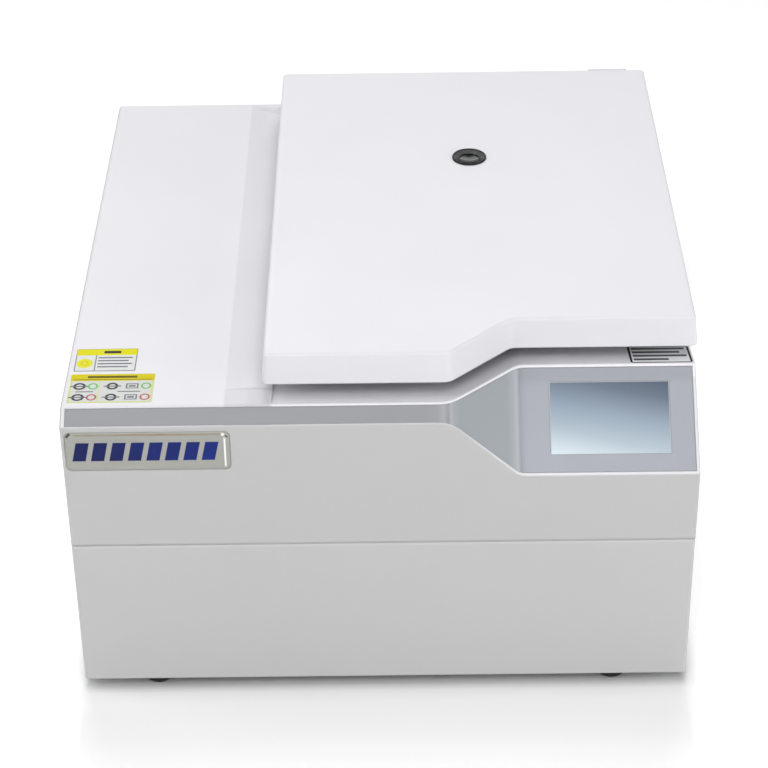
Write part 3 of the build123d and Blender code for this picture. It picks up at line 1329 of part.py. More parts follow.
def latch_plunger():
    x0 = HOOK_CENTRES[1] + BAR_RIGHT
    z = BAR_Z + BAR_HEIGHT / 2
    return rod_x(PLUNGER_Y, z, x0, x0 + PLUNGER_LENGTH, PLUNGER_RADIUS)


def latch_actuator():
    """Motor block at the end of the channel with the bore for the plunger."""
    x0 = HOOK_CENTRES[1] + CHANNEL_RIGHT
    x1 = x0 + ACTUATOR_LENGTH
    z = BAR_Z + BAR_HEIGHT / 2
    body = block(x0, x1, PLUNGER_Y - ACTUATOR_NEAR, PLUNGER_Y + ACTUATOR_FAR,
                 z - ACTUATOR_DROP, BAY_FLOOR_Z - WALL)
    motor = rod_x(PLUNGER_Y, z - ACTUATOR_MOTOR_DROP, x0 + 2, x1 - 2, ACTUATOR_MOTOR)
    bore = rod_x(PLUNGER_Y, z, x0 - 1, x0 + PLUNGER_LENGTH, PLUNGER_RADIUS + RUNNING)
    return body + motor - bore


# ---------------------------------------------------------------- refrigeration
def compressor():
    """Hermetic can: pressed lower cup, lap seam and domed cap on a foot plate."""
    r = COMPRESSOR_RADIUS
    base = PAN_Z + COMPRESSOR_LIFT + FOOT_PLATE
    top = base + COMPRESSOR_HEIGHT
    seam = base + COMPRESSOR_HEIGHT * 0.55
    steps = 3
    cup = r - COMPRESSOR_LIP
    profile = [(0, base), (cup - 11, base), (cup, base + 8), (cup, seam), (r, seam),
               (r, seam + 2 * COMPRESSOR_LIP), (cup + 1, seam + 2 * COMPRESSOR_LIP)]
    dome = COMPRESSOR_DOME
    for i in range(steps + 1):
        angle = radians(90 * i / steps)
        profile.append(((cup + 1) * cos(angle) if i < steps else 0.0,
                        top - dome + dome * sin(angle)))
    can = turned(profile, UNIT_X, COMPRESSOR_Y)
    half = r + COMPRESSOR_SPREAD
    plate = block(UNIT_X - half, UNIT_X + half, COMPRESSOR_Y - half, COMPRESSOR_Y + half,
                  base - FOOT_PLATE, base)
    return can + plate


def compressor_mounts():
    reach = COMPRESSOR_RADIUS - 2
    mounts = []
    for sx in (-1, 1):
        for sy in (-1, 1):
            mounts.append(post(UNIT_X + sx * reach, COMPRESSOR_Y + sy * reach, PAN_Z,
                               PAN_Z + COMPRESSOR_LIFT, COMPRESSOR_MOUNT))
    return together(mounts)


def condenser():
    """Finned block: two end plates joined by upright fins and three tubes."""
    x0 = UNIT_X - CONDENSER_WIDTH / 2
    x1 = UNIT_X + CONDENSER_WIDTH / 2
    y1 = CONDENSER_Y + CONDENSER_THICK
    z0 = PAN_Z
    z1 = PAN_Z + CONDENSER_FOOT + CONDENSER_HEIGHT
    frame = block(x0, x1, CONDENSER_Y, y1, z0, z1)
    sheet = CONDENSER_SHEET
    frame -= block(x0 + sheet, x1 - sheet, CONDENSER_Y - 1, y1 + 1, z0 + CONDENSER_FOOT,
                   z1 - sheet)
    pitch = (CONDENSER_WIDTH - 2 * sheet) / (FIN_COUNT + 1)
    for i in range(FIN_COUNT):
        x = x0 + sheet + (i + 1) * pitch
        frame += block(x - FIN_THICK / 2, x + FIN_THICK / 2, CONDENSER_Y + 1, y1 - 1,
                       z0 + CONDENSER_FOOT - 1, z1 - 1)
    half = CONDENSER_TUBE / 2
    middle = CONDENSER_Y + CONDENSER_THICK / 2
    for i in range(3):
        z = z0 + CONDENSER_FOOT + CONDENSER_HEIGHT * (i + 0.5) / 3
        frame += block(x0 + 1, x1 - 1, middle - half, middle + half, z - half, z + half)
    return frame


def fan_shroud():
    """Plate with a round throat on the condenser and three motor arms."""
    half_w = CONDENSER_WIDTH / 2
    plate = block(UNIT_X - half_w, UNIT_X + half_w, SHROUD_Y, CONDENSER_Y, PAN_Z,
                  PAN_Z + CONDENSER_FOOT + CONDENSER_HEIGHT)
    throat = FAN_RADIUS + THROAT_GAP
    plate -= rod_y(UNIT_X, FAN_Z, SHROUD_Y - 1, CONDENSER_Y + 1, throat)
    ring_y = FAN_Y - SHROUD_ARM_GAP
    ring_back = ring_y + SHROUD_ARM_THICK
    half = SHROUD_ARM / 2
    for i in range(3):
        arm = block(-half, half, ring_y, ring_back, FAN_MOTOR_RADIUS - 4, throat + SHROUD_ARM)
        leg = block(-half, half, ring_y, SHROUD_Y + 1, throat + 1, throat + SHROUD_ARM)
        plate += Pos(UNIT_X, 0, FAN_Z) * Rot(0, 120 * i, 0) * (arm + leg)
    collar_r = FAN_MOTOR_RADIUS + FIT
    plate += rod_y(UNIT_X, FAN_Z, ring_y, ring_back, collar_r + half)
    plate -= rod_y(UNIT_X, FAN_Z, ring_y - 1, ring_back + 1, collar_r)
    return plate


def fan_motor():
    y1 = FAN_Y - 1
    body = rod_y(UNIT_X, FAN_Z, y1 - FAN_MOTOR_LENGTH, y1, FAN_MOTOR_RADIUS)
    shaft = rod_y(UNIT_X, FAN_Z, y1, y1 + FAN_SHAFT_LENGTH, FAN_SHAFT)
    return body + shaft


def condenser_fan():
    """Axial fan: hub and pitched blades, each lofted from root to tip."""
    y0 = FAN_Y
    hub = rod_y(0, 0, y0, y0 + FAN_DEPTH - 2, FAN_HUB)
    hub -= rod_y(0, 0, y0 - 1, y0 + FAN_SHAFT_LENGTH, FAN_SHAFT + RUNNING)
    middle = y0 + FAN_DEPTH / 2 - 1
    for i in range(FAN_BLADES):
        root = Pos(0, middle, FAN_HUB - 2) * Rot(0, 0, 34) * Rectangle(22, 2.2)
        tip = Pos(0, middle, FAN_RADIUS) * Rot(0, 0, 22) * Rectangle(36, 1.6)
        blade = loft([root, tip], ruled=True)
        hub += Rot(0, 360 * i / FAN_BLADES, 0) * blade
    return Pos(UNIT_X, 0, FAN_Z) * hub


def filter_drier():
    """Pencil drier that stands below the chamber, in line with the capillary."""
    low = DRIER_Z
    high = DRIER_Z + DRIER_LENGTH
    r = DRIER_RADIUS
    neck = PIPE_RADIUS + 1
    profile = [(0, low), (neck, low), (r, low + DRIER_CONE), (r, high - DRIER_CONE),
               (neck, high), (0, high)]
    return turned(profile, *line_place(DRIER_BEARING))


def tube(points, bend):
    """Copper tube along straight runs joined by bends of one radius."""
    path = FilletPolyline(*points, radius=bend)
    return sweep(Plane(origin=path @ 0, z_dir=path % 0) * Circle(PIPE_RADIUS), path=path)


def refrigerant_pipes():
    """Hot-gas, liquid, capillary and suction lines, bent from copper tube."""
    can_top = PAN_Z + COMPRESSOR_LIFT + FOOT_PLATE + COMPRESSOR_HEIGHT
    coil_top = PAN_Z + CONDENSER_FOOT + CONDENSER_HEIGHT
    line_y = CONDENSER_Y + CONDENSER_THICK / 2
    over = coil_top + HOT_RISE
    hot = tube([(UNIT_X, COMPRESSOR_Y, can_top), (UNIT_X, COMPRESSOR_Y, over),
                (UNIT_X, line_y, over), (UNIT_X, line_y, coil_top)], HOT_BEND)

    side = UNIT_X + CONDENSER_WIDTH / 2
    drier_x, drier_y = line_place(DRIER_BEARING)
    low = DRIER_Z - LIQUID_DROP
    liquid = tube([(drier_x, drier_y, DRIER_Z), (drier_x, drier_y, low),
                   (drier_x, line_y, low), (side, line_y, low)], PIPE_BEND)
    capillary_top, suction_top = line_tops()
    capillary = post(drier_x, drier_y, DRIER_Z + DRIER_LENGTH, capillary_top, PIPE_RADIUS)

    x, y = line_place(-SUCTION_BEARING)
    port_z = PAN_Z + COMPRESSOR_LIFT + COMPRESSOR_HEIGHT / 2
    port_y = COMPRESSOR_Y + COMPRESSOR_RADIUS - COMPRESSOR_LIP
    jog_y = y - SUCTION_CLEAR
    suction = tube([(x, y, suction_top), (x, y, port_z), (x, jog_y, port_z),
                    (UNIT_X, jog_y, port_z), (UNIT_X, port_y, port_z)], PIPE_BEND)
    return together([hot, liquid, capillary, suction])


# ---------------------------------------------------------------- electrics
def mains_block(width, height, y0, y1, z):
    """Block on the axis of the inlet or the switch."""
    return block(INLET_X - width / 2, INLET_X + width / 2, y0, y1, z - height / 2,
                 z + height / 2)


def power_inlet():
    """Appliance inlet: flange, recessed shroud and three pins."""
    y1 = REAR_Y - SHEET
    floor = y1 - SOCKET_DEPTH
    inlet = mains_block(MAINS_WIDTH, MAINS_HEIGHT, y1, y1 + MAINS_FLANGE, INLET_Z)
    inlet += mains_block(MAINS_BODY_WIDTH, MAINS_BODY_HEIGHT, y1 - INLET_DEPTH, y1, INLET_Z)
    inlet -= mains_block(SOCKET_WIDTH, SOCKET_HEIGHT, floor, y1 + MAINS_FLANGE + 1, INLET_Z)
    for dx, dz in ((-7, -3), (0, 1), (7, -3)):
        pin = block(-PIN_WIDTH / 2, PIN_WIDTH / 2, floor - 1, floor + PIN_LENGTH - 1,
                    -PIN_HEIGHT / 2, PIN_HEIGHT / 2)
        inlet += Pos(INLET_X + dx, 0, INLET_Z + dz) * pin
    return inlet


def switch_housing():
    """Frame of the switch with a pivot pin at each side."""
    y1 = REAR_Y - SHEET
    housing = mains_block(MAINS_WIDTH, MAINS_HEIGHT, y1, y1 + MAINS_FLANGE, SWITCH_Z)
    housing += mains_block(MAINS_BODY_WIDTH, MAINS_BODY_HEIGHT, y1 - SWITCH_DEPTH, y1,
                           SWITCH_Z)
    housing -= mains_block(SWITCH_ROOM_WIDTH, SOCKET_HEIGHT, y1 - SWITCH_ROOM,
                           y1 + MAINS_FLANGE + 1, SWITCH_Z)
    wall = SWITCH_ROOM_WIDTH / 2
    for side in (-1, 1):
        low, high = sorted((INLET_X + side * (wall - 2), INLET_X + side * (wall + 0.2)))
        housing += rod_x(y1 - ROCKER_PIVOT, SWITCH_Z, low, high, ROCKER_PIN)
    return housing


def power_rocker():
    """Rocker with two facets that tip about a cross pin in its housing."""
    pivot_y = REAR_Y - SHEET - ROCKER_PIVOT
    reach = ROCKER_HALF
    half = ROCKER_WIDTH / 2
    outline = Polyline((0, pivot_y - 3, SWITCH_Z - 3), (0, pivot_y - 3, SWITCH_Z + 3),
                       (0, pivot_y + 2, SWITCH_Z + reach), (0, pivot_y + 8, SWITCH_Z + reach),
                       (0, pivot_y + 5, SWITCH_Z), (0, pivot_y + 5, SWITCH_Z - reach),
                       (0, pivot_y + 1, SWITCH_Z - reach), close=True)
    rocker = extrude(Pos(INLET_X - half, 0, 0) * make_face(outline), 2 * half, dir=(1, 0, 0))
    pin_end = SWITCH_ROOM_WIDTH / 2 - 2 - 0.1
    for side in (-1, 1):
        low, high = sorted((INLET_X + side * pin_end, INLET_X + side * (half + 1)))
        rocker -= rod_x(pivot_y, SWITCH_Z, low, high, ROCKER_PIN + RUNNING)
    return rocker


def drive_board():
    """Motor drive: board on stand-offs with capacitors."""
    x1 = RIGHT_X - DRIVE_INSET
    x0 = x1 - DRIVE_LENGTH
    y0 = FRONT_Y + DRIVE_SETBACK
    y1 = y0 + DRIVE_WIDTH
    z = PAN_Z + DRIVE_LIFT
    top = z + BOARD_THICK
    board = block(x0, x1, y0, y1, z, top)
    for x in (x0 + DRIVE_EDGE, x1 - DRIVE_EDGE):
        for y in (y0 + DRIVE_EDGE, y1 - DRIVE_EDGE):
            board += post(x, y, PAN_Z, z, DRIVE_EDGE / 2)
    for i in range(CAPACITORS):
        y = y0 + 2 * CAPACITOR_RADIUS + i * CAPACITOR_PITCH
        board += post(x1 - 2 * CAPACITOR_RADIUS, y, top, top + CAPACITOR_HEIGHT,
                      CAPACITOR_RADIUS)
    return board


def drive_heatsink():
    """Extruded heat sink on the drive board: base and upright fins."""
    x0 = RIGHT_X - DRIVE_INSET - DRIVE_LENGTH + SINK_MARGIN
    y0 = FRONT_Y + DRIVE_SETBACK + SINK_MARGIN
    y1 = y0 + DRIVE_WIDTH - 2 * SINK_MARGIN
    z = PAN_Z + DRIVE_LIFT + BOARD_THICK
    sink = block(x0, x0 + SINK_LENGTH, y0, y1, z, z + SINK_BASE)
    pitch = (SINK_LENGTH - SINK_FIN_THICK) / (SINK_FINS - 1)
    for i in range(SINK_FINS):
        x = x0 + i * pitch
        sink += block(x, x + SINK_FIN_THICK, y0, y1, z + SINK_BASE - 1, z + SINK_HEIGHT)
    return sink


# ---------------------------------------------------------------- write the pieces
PIECES = {
    "base_pan": base_pan,
    "lower_cabinet": lower_cabinet,
    "rear_panel": rear_panel,
    "rear_panel_screws": rear_panel_screws,
    "rubber_feet": rubber_feet,
    "upper_shell": upper_shell,
    "trim_inlay": trim_inlay,
    "screen_glass": screen_glass,
    "display_module": display_module,
    "control_board": control_board,
    "name_plate": name_plate,
    "chamber_bowl": chamber_bowl,
    "chamber_insulation": chamber_insulation,
    "evaporator": evaporator,
    "chamber_seal": chamber_seal,
    "lid_buffers": lid_buffers,
    "vibration_mounts": vibration_mounts,
    "motor_plate": motor_plate,
    "motor_housing": motor_housing,
    "motor_stator": motor_stator,
    "motor_bearings": motor_bearings,
    "motor_boot": motor_boot,
    "motor_shaft": motor_shaft,
    "motor_rotor": motor_rotor,
    "rotor_yoke": rotor_yoke,
    "rotor_nut": rotor_nut,
    "plate_carrier_a": lambda: plate_carrier(1),
    "plate_carrier_b": lambda: plate_carrier(-1),
    "lid_cover": lid_cover,
    "lid_liner": lid_liner,
    "lid_frame": lid_frame,
    "sight_ring": sight_ring,
    "sight_lens": sight_lens,
    "lid_strikers": lid_strikers,
    "lid_hinge_arms": lid_hinge_arms,
    "lid_hinge_covers": lid_hinge_covers,
    "hinge_brackets": hinge_brackets,
    "hinge_pins": hinge_pins,
    "hinge_screws": hinge_screws,
    "latch_bracket": latch_bracket,
    "latch_bar": latch_bar,
    "latch_plunger": latch_plunger,
    "latch_actuator": latch_actuator,
    "compressor": compressor,
    "compressor_mounts": compressor_mounts,
    "condenser": condenser,
    "fan_shroud": fan_shroud,
    "fan_motor": fan_motor,
    "condenser_fan": condenser_fan,
    "filter_drier": filter_drier,
    "refrigerant_pipes": refrigerant_pipes,
    "power_inlet": power_inlet,
    "switch_housing": switch_housing,
    "power_rocker": power_rocker,
    "drive_board": drive_board,
    "drive_heatsink": drive_heatsink,
}

os.makedirs("parts", exist_ok=True)
for name, make in PIECES.items():
    export_step(make(), f"parts/{name}.step")
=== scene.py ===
"""Dresses the plate centrifuge: finishes, stickers, name plate, the screen's painted reflection,
lamps and camera.
"""
from math import cos, pi, sin

import bpy
import numpy as np
from mathutils import Matrix, Vector


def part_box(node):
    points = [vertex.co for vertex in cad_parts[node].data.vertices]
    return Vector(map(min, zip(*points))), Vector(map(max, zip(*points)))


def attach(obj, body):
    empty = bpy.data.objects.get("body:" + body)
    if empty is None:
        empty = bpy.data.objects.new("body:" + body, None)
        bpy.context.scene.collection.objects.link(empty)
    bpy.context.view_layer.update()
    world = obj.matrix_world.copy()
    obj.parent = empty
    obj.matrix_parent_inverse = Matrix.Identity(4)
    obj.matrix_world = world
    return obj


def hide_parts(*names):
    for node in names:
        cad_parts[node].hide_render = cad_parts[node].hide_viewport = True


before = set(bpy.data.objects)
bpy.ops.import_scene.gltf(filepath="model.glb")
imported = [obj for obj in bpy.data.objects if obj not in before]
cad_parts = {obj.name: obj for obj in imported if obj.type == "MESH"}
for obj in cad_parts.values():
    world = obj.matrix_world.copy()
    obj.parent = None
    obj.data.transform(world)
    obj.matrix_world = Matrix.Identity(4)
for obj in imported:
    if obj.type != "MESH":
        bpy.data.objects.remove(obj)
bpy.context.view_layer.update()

MM = 0.001


# ---------------------------------------------------------------- camera
CAMERA_PLACE = (0.010972, -2.013942, 1.458038)
CAMERA_RIGHT = (0.99992187, -0.0031108, -0.01210708)
CAMERA_UP = (0.01183274, 0.54783266, 0.83650425)
LENS_MM = 111.832
SENSOR_MM = 36.0


def set_camera():
    """Long lens, standing in front of the machine and looking down on it."""
    right, up = Vector(CAMERA_RIGHT), Vector(CAMERA_UP)
    back = right.cross(up).normalized()
    up = back.cross(right).normalized()
    lens = bpy.data.cameras.new("camera")
    lens.sensor_fit = "HORIZONTAL"
    lens.sensor_width = SENSOR_MM
    lens.lens = LENS_MM
    lens.clip_start = 0.1
    lens.clip_end = 60.0
    camera = bpy.data.objects.new("camera", lens)
    bpy.context.scene.collection.objects.link(camera)
    place = Matrix((right, up, back)).transposed().to_4x4()
    place.translation = Vector(CAMERA_PLACE)
    camera.matrix_world = place
    bpy.context.scene.camera = camera


# ---------------------------------------------------------------- shader writing
class Value:
    """A socket in a finish; arithmetic on it adds Math nodes."""

    def __init__(self, finish, socket):
        self.finish = finish
        self.socket = socket

    def math(self, operation, *values):
        return self.finish.node("ShaderNodeMath", {"operation": operation},
                                dict(enumerate(values)))

    def __add__(self, other):
        return self.math("ADD", self, other)

    def __radd__(self, other):
        return self.math("ADD", other, self)

    def __sub__(self, other):
        return self.math("SUBTRACT", self, other)

    def __rsub__(self, other):
        return self.math("SUBTRACT", other, self)

    def __mul__(self, other):
        return self.math("MULTIPLY", self, other)

    def __rmul__(self, other):
        return self.math("MULTIPLY", other, self)

    def __truediv__(self, other):
        return self.math("DIVIDE", self, other)

    def __abs__(self):
        return self.math("ABSOLUTE", self)

    def __pow__(self, power):
        return self.math("POWER", self, power)

    def sine(self):
        return self.math("SINE", self)

    def larger(self, other):
        return self.math("MAXIMUM", self, other)

    def smaller(self, other):
        return self.math("MINIMUM", self, other)

    def mapped(self, way, start, end, low, high):
        """Goes from low to high while the value goes from start to end."""
        return self.finish.node("ShaderNodeMapRange", {"interpolation_type": way},
                                {"Value": self, "From Min": start, "From Max": end,
                                 "To Min": low, "To Max": high})

    def below(self, edge, soft):
        """1 well below the edge, 0 well above it, with a soft change between."""
        return self.mapped("SMOOTHSTEP", edge - soft, edge + soft, 1.0, 0.0)

    def above(self, edge, soft):
        """0 well below the edge, 1 well above it, with a soft change between."""
        return self.mapped("SMOOTHSTEP", edge - soft, edge + soft, 0.0, 1.0)

    def spread(self, low, high):
        """Stretches a noise, which lies mostly from 0.3 to 0.7, over low to high."""
        return self.mapped("LINEAR", 0.3, 0.7, low, high)


class Finish:
    """A material whose nodes end in one Principled shader."""

    def __init__(self, name, **constants):
        self.material = bpy.data.materials.new(name)
        self.material.use_nodes = True
        self.tree = self.material.node_tree
        self.shader = self.tree.nodes["Principled BSDF"]
        self.where = self.node("ShaderNodeTexCoord", {}, {}, "Object")
        for socket, value in constants.items():
            self.to(socket.replace("_", " "), value)

    def node(self, kind, settings=None, sockets=None, output=0):
        """Adds one node: settings first, then the values or links of its sockets."""
        made = self.tree.nodes.new(kind)
        for key, value in (settings or {}).items():
            if key != "stops":
                setattr(made, key, value)
                continue
            elements = made.color_ramp.elements
            elements[0].position, elements[1].position = value[0][0], value[-1][0]
            elements[0].color, elements[1].color = (*value[0][1], 1), (*value[-1][1], 1)
            for place, colour in value[1:-1]:
                elements.new(place).color = (*colour, 1)
        for key, value in (sockets or {}).items():
            self.feed(made.inputs[key], value)
        return Value(self, made.outputs[output])

    def feed(self, socket, value):
        if isinstance(value, Value):
            self.tree.links.new(value.socket, socket)
        elif socket.type == "RGBA" and len(value) == 3:
            socket.default_value = (*value, 1.0)
        else:
            socket.default_value = value

    def to(self, socket, value):
        """Feeds the shader; constants go on its own sockets."""
        self.feed(self.shader.inputs[socket], value)
        return self

    def axes(self):
        """x, y and z of the object's own coordinates, in metres."""
        split = self.tree.nodes.new("ShaderNodeSeparateXYZ")
        self.tree.links.new(self.where.socket, split.inputs[0])
        return [Value(self, output) for output in split.outputs]

    def moved(self, centre=(0, 0, 0), stretch=(1, 1, 1)):
        """The object's coordinates, centred and stretched."""
        return self.node("ShaderNodeMapping", {"vector_type": "TEXTURE"},
                         {"Vector": self.where, "Location": centre, "Scale": stretch})

    def noise(self, scale, detail=3.0, rough=0.5, where=None):
        return self.node("ShaderNodeTexNoise", {},
                         {"Vector": where or self.where, "Scale": scale,
                          "Detail": detail, "Roughness": rough})

    def mix(self, mask, low, high):
        """Colour low where the mask is 0 and colour high where it is 1."""
        return self.node("ShaderNodeMix", {"data_type": "RGBA"}, {0: mask, 6: low, 7: high}, 2)

    def blend(self, way, first, second):
        """Two colours multiplied or added."""
        return self.node("ShaderNodeMix", {"data_type": "RGBA", "blend_type": way},
                         {0: 1.0, 6: first, 7: second}, 2)

    def ramp(self, stops, along):
        """Colours set out along a value from 0 to 1."""
        return self.node("ShaderNodeValToRGB", {"stops": stops}, {"Fac": along})

    def shades(self, colour, noise, amount):
        """One colour, a little lighter and darker with a noise."""
        darker = [part * (1 - amount) for part in colour]
        lighter = [min(1.0, part * (1 + amount)) for part in colour]
        return self.mix(noise.spread(0.0, 1.0), darker, lighter)

    def bump(self, height, depth, strength, over=None):
        """Surface relief whose full height is depth, in metres."""
        sockets = {"Height": height, "Distance": depth, "Strength": strength}
        if over is not None:
            sockets["Normal"] = over
        return self.node("ShaderNodeBump", {}, sockets)

    def soft_edges(self, radius, samples=6):
        """Normals that roll over the edges, as moulded and painted edges do."""
        return self.node("ShaderNodeBevel", {"samples": samples}, {"Radius": radius})


# ---------------------------------------------------------------- finishes
# Lines on the shell where its painted shade and painted light change, in metres
FRONT_WALL, REAR_WALL = -0.3024, 0.2958
LEFT_WALL, RIGHT_WALL = -0.2788, 0.2795
SHELL_TOP = 0.3120             # clear of the shell below and of the lid above
DISH_LEFT, DISH_RIGHT = -0.1370, -0.1215
DISH_FRONT, DISH_REAR = -0.2618, 0.296
LID_SHADE_LEFT, LID_SHADE_RIGHT = -0.117, -0.0965
RIB_MIDDLE, RIB_REAR = -0.1080, 0.290
RAMP_LOW, RAMP_HIGH, RAMP_LEFT = 0.2985, 0.3066, -0.0955

# DECK_WHITE is the shell's own white. The other tones are painted shade on the dish, in front of
# it by the lid and on the upright walls, and painted light beside the lid and on the ramp under
# it.
DECK_WHITE = (0.692, 0.686, 0.721)
DISH_PAINTED_SHADE = (0.60, 0.595, 0.63)
RIB_PAINTED_LIGHT = (0.77, 0.765, 0.80)
RAMP_PAINTED_LIGHT = (0.80, 0.795, 0.83)
LID_SHADE, DEEP_LID_SHADE = (0.59, 0.585, 0.62), (0.56, 0.555, 0.59)
WALL_PAINTED_SHADE = (0.475, 0.475, 0.475)


def moulded_white():
    """Satin white moulding: flow marks and fine grain; light grey painted shade on its upright
    walls, painted shade on the dish and in front of it, painted light beside the lid and on the
    ramp under it.
    """
    finish = Finish("moulded_white", Specular_IOR_Level=0.5)
    flow = finish.noise(9.0, 2.0)
    grain = finish.noise(1500.0, 2.0, 0.6)
    x, y, z = finish.axes()
    shell = z.below(SHELL_TOP, 0.0010)
    inward = y.above(FRONT_WALL, 0.0006) * x.above(LEFT_WALL, 0.0004)
    inward = inward * x.below(RIGHT_WALL, 0.0003) * y.below(REAR_WALL, 0.0004)
    behind = y.above(DISH_FRONT, 0.0008)
    left = x.above(DISH_LEFT, 0.0012)
    dish = left * x.below(DISH_RIGHT, 0.0070) * y.below(DISH_REAR, 0.001)
    painted_light_by_lid = abs(x - RIB_MIDDLE).below(0.0060, 0.0080) * y.below(RIB_REAR, 0.001) * behind
    before_dish = (1.0 - behind) * left * x.below(LID_SHADE_RIGHT, 0.0015) * shell
    shade = finish.mix(x.below(LID_SHADE_LEFT, 0.004), DEEP_LID_SHADE, LID_SHADE)
    ramp = z.above(RAMP_LOW, 0.0005) * z.below(RAMP_HIGH, 0.0003) * x.above(RAMP_LEFT, 0.0005)
    # Painted shade on the dish and in front of it, painted light beside the lid and on the ramp,
    # painted shade on the upright walls.
    tone = finish.mix(dish * 0.6, DECK_WHITE, DISH_PAINTED_SHADE)
    tone = finish.mix(painted_light_by_lid * 0.8, tone, RIB_PAINTED_LIGHT)
    tone = finish.mix(before_dish, tone, shade)
    tone = finish.mix(ramp, tone, RAMP_PAINTED_LIGHT)
    tone = finish.mix((1.0 - inward) * shell, tone, WALL_PAINTED_SHADE)
    finish.to("Base Color", finish.mix(flow.spread(0.0, 0.03), tone, (0.5, 0.5, 0.52)))
    finish.to("Roughness", flow.spread(0.36, 0.42) + grain.spread(-0.02, 0.02))
    return finish.to("Normal", finish.bump(grain, 0.000012, 0.5, finish.soft_edges(0.0016)))


HIGHLIGHT_LOW = 0.1648               # painted highlight along the cabinet's top edge, just under the seam


def painted_cabinet():
    """Powder coat on sheet steel, its grey painted shade: orange peel, a painted highlight under
    the seam, a trace of dust low down.
    """
    finish = Finish("painted_cabinet", Specular_IOR_Level=0.45)
    peel = finish.noise(620.0, 2.0, 0.45)
    cloud = finish.noise(7.0, 3.0)
    z = finish.axes()[2]
    # Grey: painted shade on a coat as white as the shell.
    painted_shade_coat = finish.shades((0.500, 0.494, 0.498), cloud, 0.012)
    # Painted highlight along the top edge, under the seam.
    painted_shade_coat = finish.mix(z.above(HIGHLIGHT_LOW, 0.0006) * 0.8, painted_shade_coat, (0.56, 0.55, 0.565))
    dust = z.below(0.05, 0.045) * cloud.spread(0.0, 0.10)
    finish.to("Base Color", finish.mix(dust, painted_shade_coat, (0.42, 0.41, 0.40)))
    finish.to("Roughness", cloud.spread(0.40, 0.47))
    return finish.to("Normal", finish.bump(peel, 0.00003, 0.35, finish.soft_edges(0.0016)))


BAND_END, FACET_END = 0.060, 0.122     # where the facet starts and ends, in metres
# Band, facet and panel are one film; their greys differ as painted light and shade for the way
# each face turns.
BAND_GREY = (0.287, 0.291, 0.311)
FACET_GREY = (0.314, 0.339, 0.358)
PANEL_GREY = (0.297, 0.311, 0.348)
PANEL_TOP_GREY = (0.269, 0.280, 0.312)

# Painted light across the film's two bends, a gradient which multiplies its colour: two
# painted highlights on the first bend, a painted highlight and a painted shade line on the
# second. Share of the way from FILM_START.
FILM_START, FILM_SPAN = 0.040, 0.100
FILM_BEND_HIGHLIGHTS = (
    (0.0, 1.0), (0.09, 1.05), (0.145, 1.29), (0.185, 1.03), (0.205, 1.36), (0.225, 1.13),
    (0.29, 1.0), (0.71, 1.0), (0.77, 1.17), (0.798, 1.355), (0.817, 1.08), (0.84, 0.95),
    (0.90, 1.0))


def satin_film():
    """Silver-grey film: fine metallic flecks, with painted highlights along its two bends."""
    finish = Finish("satin_film", Specular_IOR_Level=0.5, Metallic=0.15)
    fleck = finish.noise(3200.0, 1.0, 0.5)
    cloud = finish.noise(11.0, 2.0)
    x, _, z = finish.axes()
    low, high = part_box("screen_glass")
    above_screen = z.above(high.z, 0.08 * (high.z - low.z))
    panel = finish.mix(above_screen, PANEL_GREY, PANEL_TOP_GREY)
    base = finish.mix(x.below(BAND_END, 0.002), FACET_GREY, BAND_GREY)
    base = finish.mix(x.below(FACET_END, 0.001), panel, base)
    halves = [(at, (tone / 2.0,) * 3) for at, tone in FILM_BEND_HIGHLIGHTS]
    # Painted highlights along the bends.
    base = finish.blend("MULTIPLY", base, finish.ramp(halves, (x - FILM_START) / FILM_SPAN))
    base = finish.blend("ADD", base, base)
    base = finish.mix(cloud.spread(0.0, 0.06), base, (0.33, 0.34, 0.36))
    finish.to("Base Color", finish.mix(fleck.spread(0.0, 0.05), base, (0.7, 0.7, 0.72)))
    finish.to("Roughness", cloud.spread(0.40, 0.46))
    return finish.to("Normal", finish.bump(fleck, 0.000008, 0.5, finish.soft_edges(0.0008)))


def zinc_sheet():
    """Zinc-plated steel: spangle, rolling lines and a little white bloom."""
    finish = Finish("zinc_sheet", Metallic=0.85)
    spangle = finish.node("ShaderNodeTexVoronoi", {}, {"Vector": finish.where, "Scale": 130.0},
                          "Color")
    lines = finish.noise(60.0, 4.0, 0.6, finish.moved(stretch=(1, 0.03, 1)))
    bloom = finish.noise(22.0, 4.0)
    tone = finish.mix(spangle.spread(0.0, 1.0), (0.575, 0.585, 0.60), (0.63, 0.64, 0.65))
    finish.to("Base Color", finish.mix(bloom.spread(0.0, 0.25), tone, (0.74, 0.75, 0.76)))
    finish.to("Roughness", lines.spread(0.30, 0.46))
    return finish.to("Normal", finish.bump(lines, 0.00002, 0.4))


def spun_steel(name, centre, tone, ring_scale=420.0):
    """Stainless steel turned on a lathe: fine rings about a vertical axis."""
    finish = Finish(name, Metallic=1.0)
    x, y, z = finish.axes()
    radius = ((x - centre[0]) ** 2.0 + (y - centre[1]) ** 2.0) ** 0.5
    turned = finish.node("ShaderNodeCombineXYZ", {}, {0: radius, 1: z, 2: 0.0})
    rings = finish.noise(ring_scale, 5.0, 0.65, turned)
    cloud = finish.noise(14.0, 3.0)
    finish.to("Base Color", finish.shades(tone, cloud, 0.05))
    finish.to("Roughness", rings.spread(0.20, 0.34))
    return finish.to("Normal", finish.bump(rings, 0.00001, 0.5))


def rigid_foam():
    """Cast insulation foam: open cells, yellowed in patches."""
    finish = Finish("rigid_foam", Roughness=0.9)
    cells = finish.node("ShaderNodeTexVoronoi", {}, {"Vector": finish.where, "Scale": 420.0})
    patch = finish.noise(16.0, 4.0)
    finish.to("Base Color", finish.mix(patch.spread(0.0, 1.0), (0.84, 0.78, 0.58),
                                       (0.72, 0.62, 0.38)))
    return finish.to("Normal", finish.bump(cells, 0.0006, 0.5))


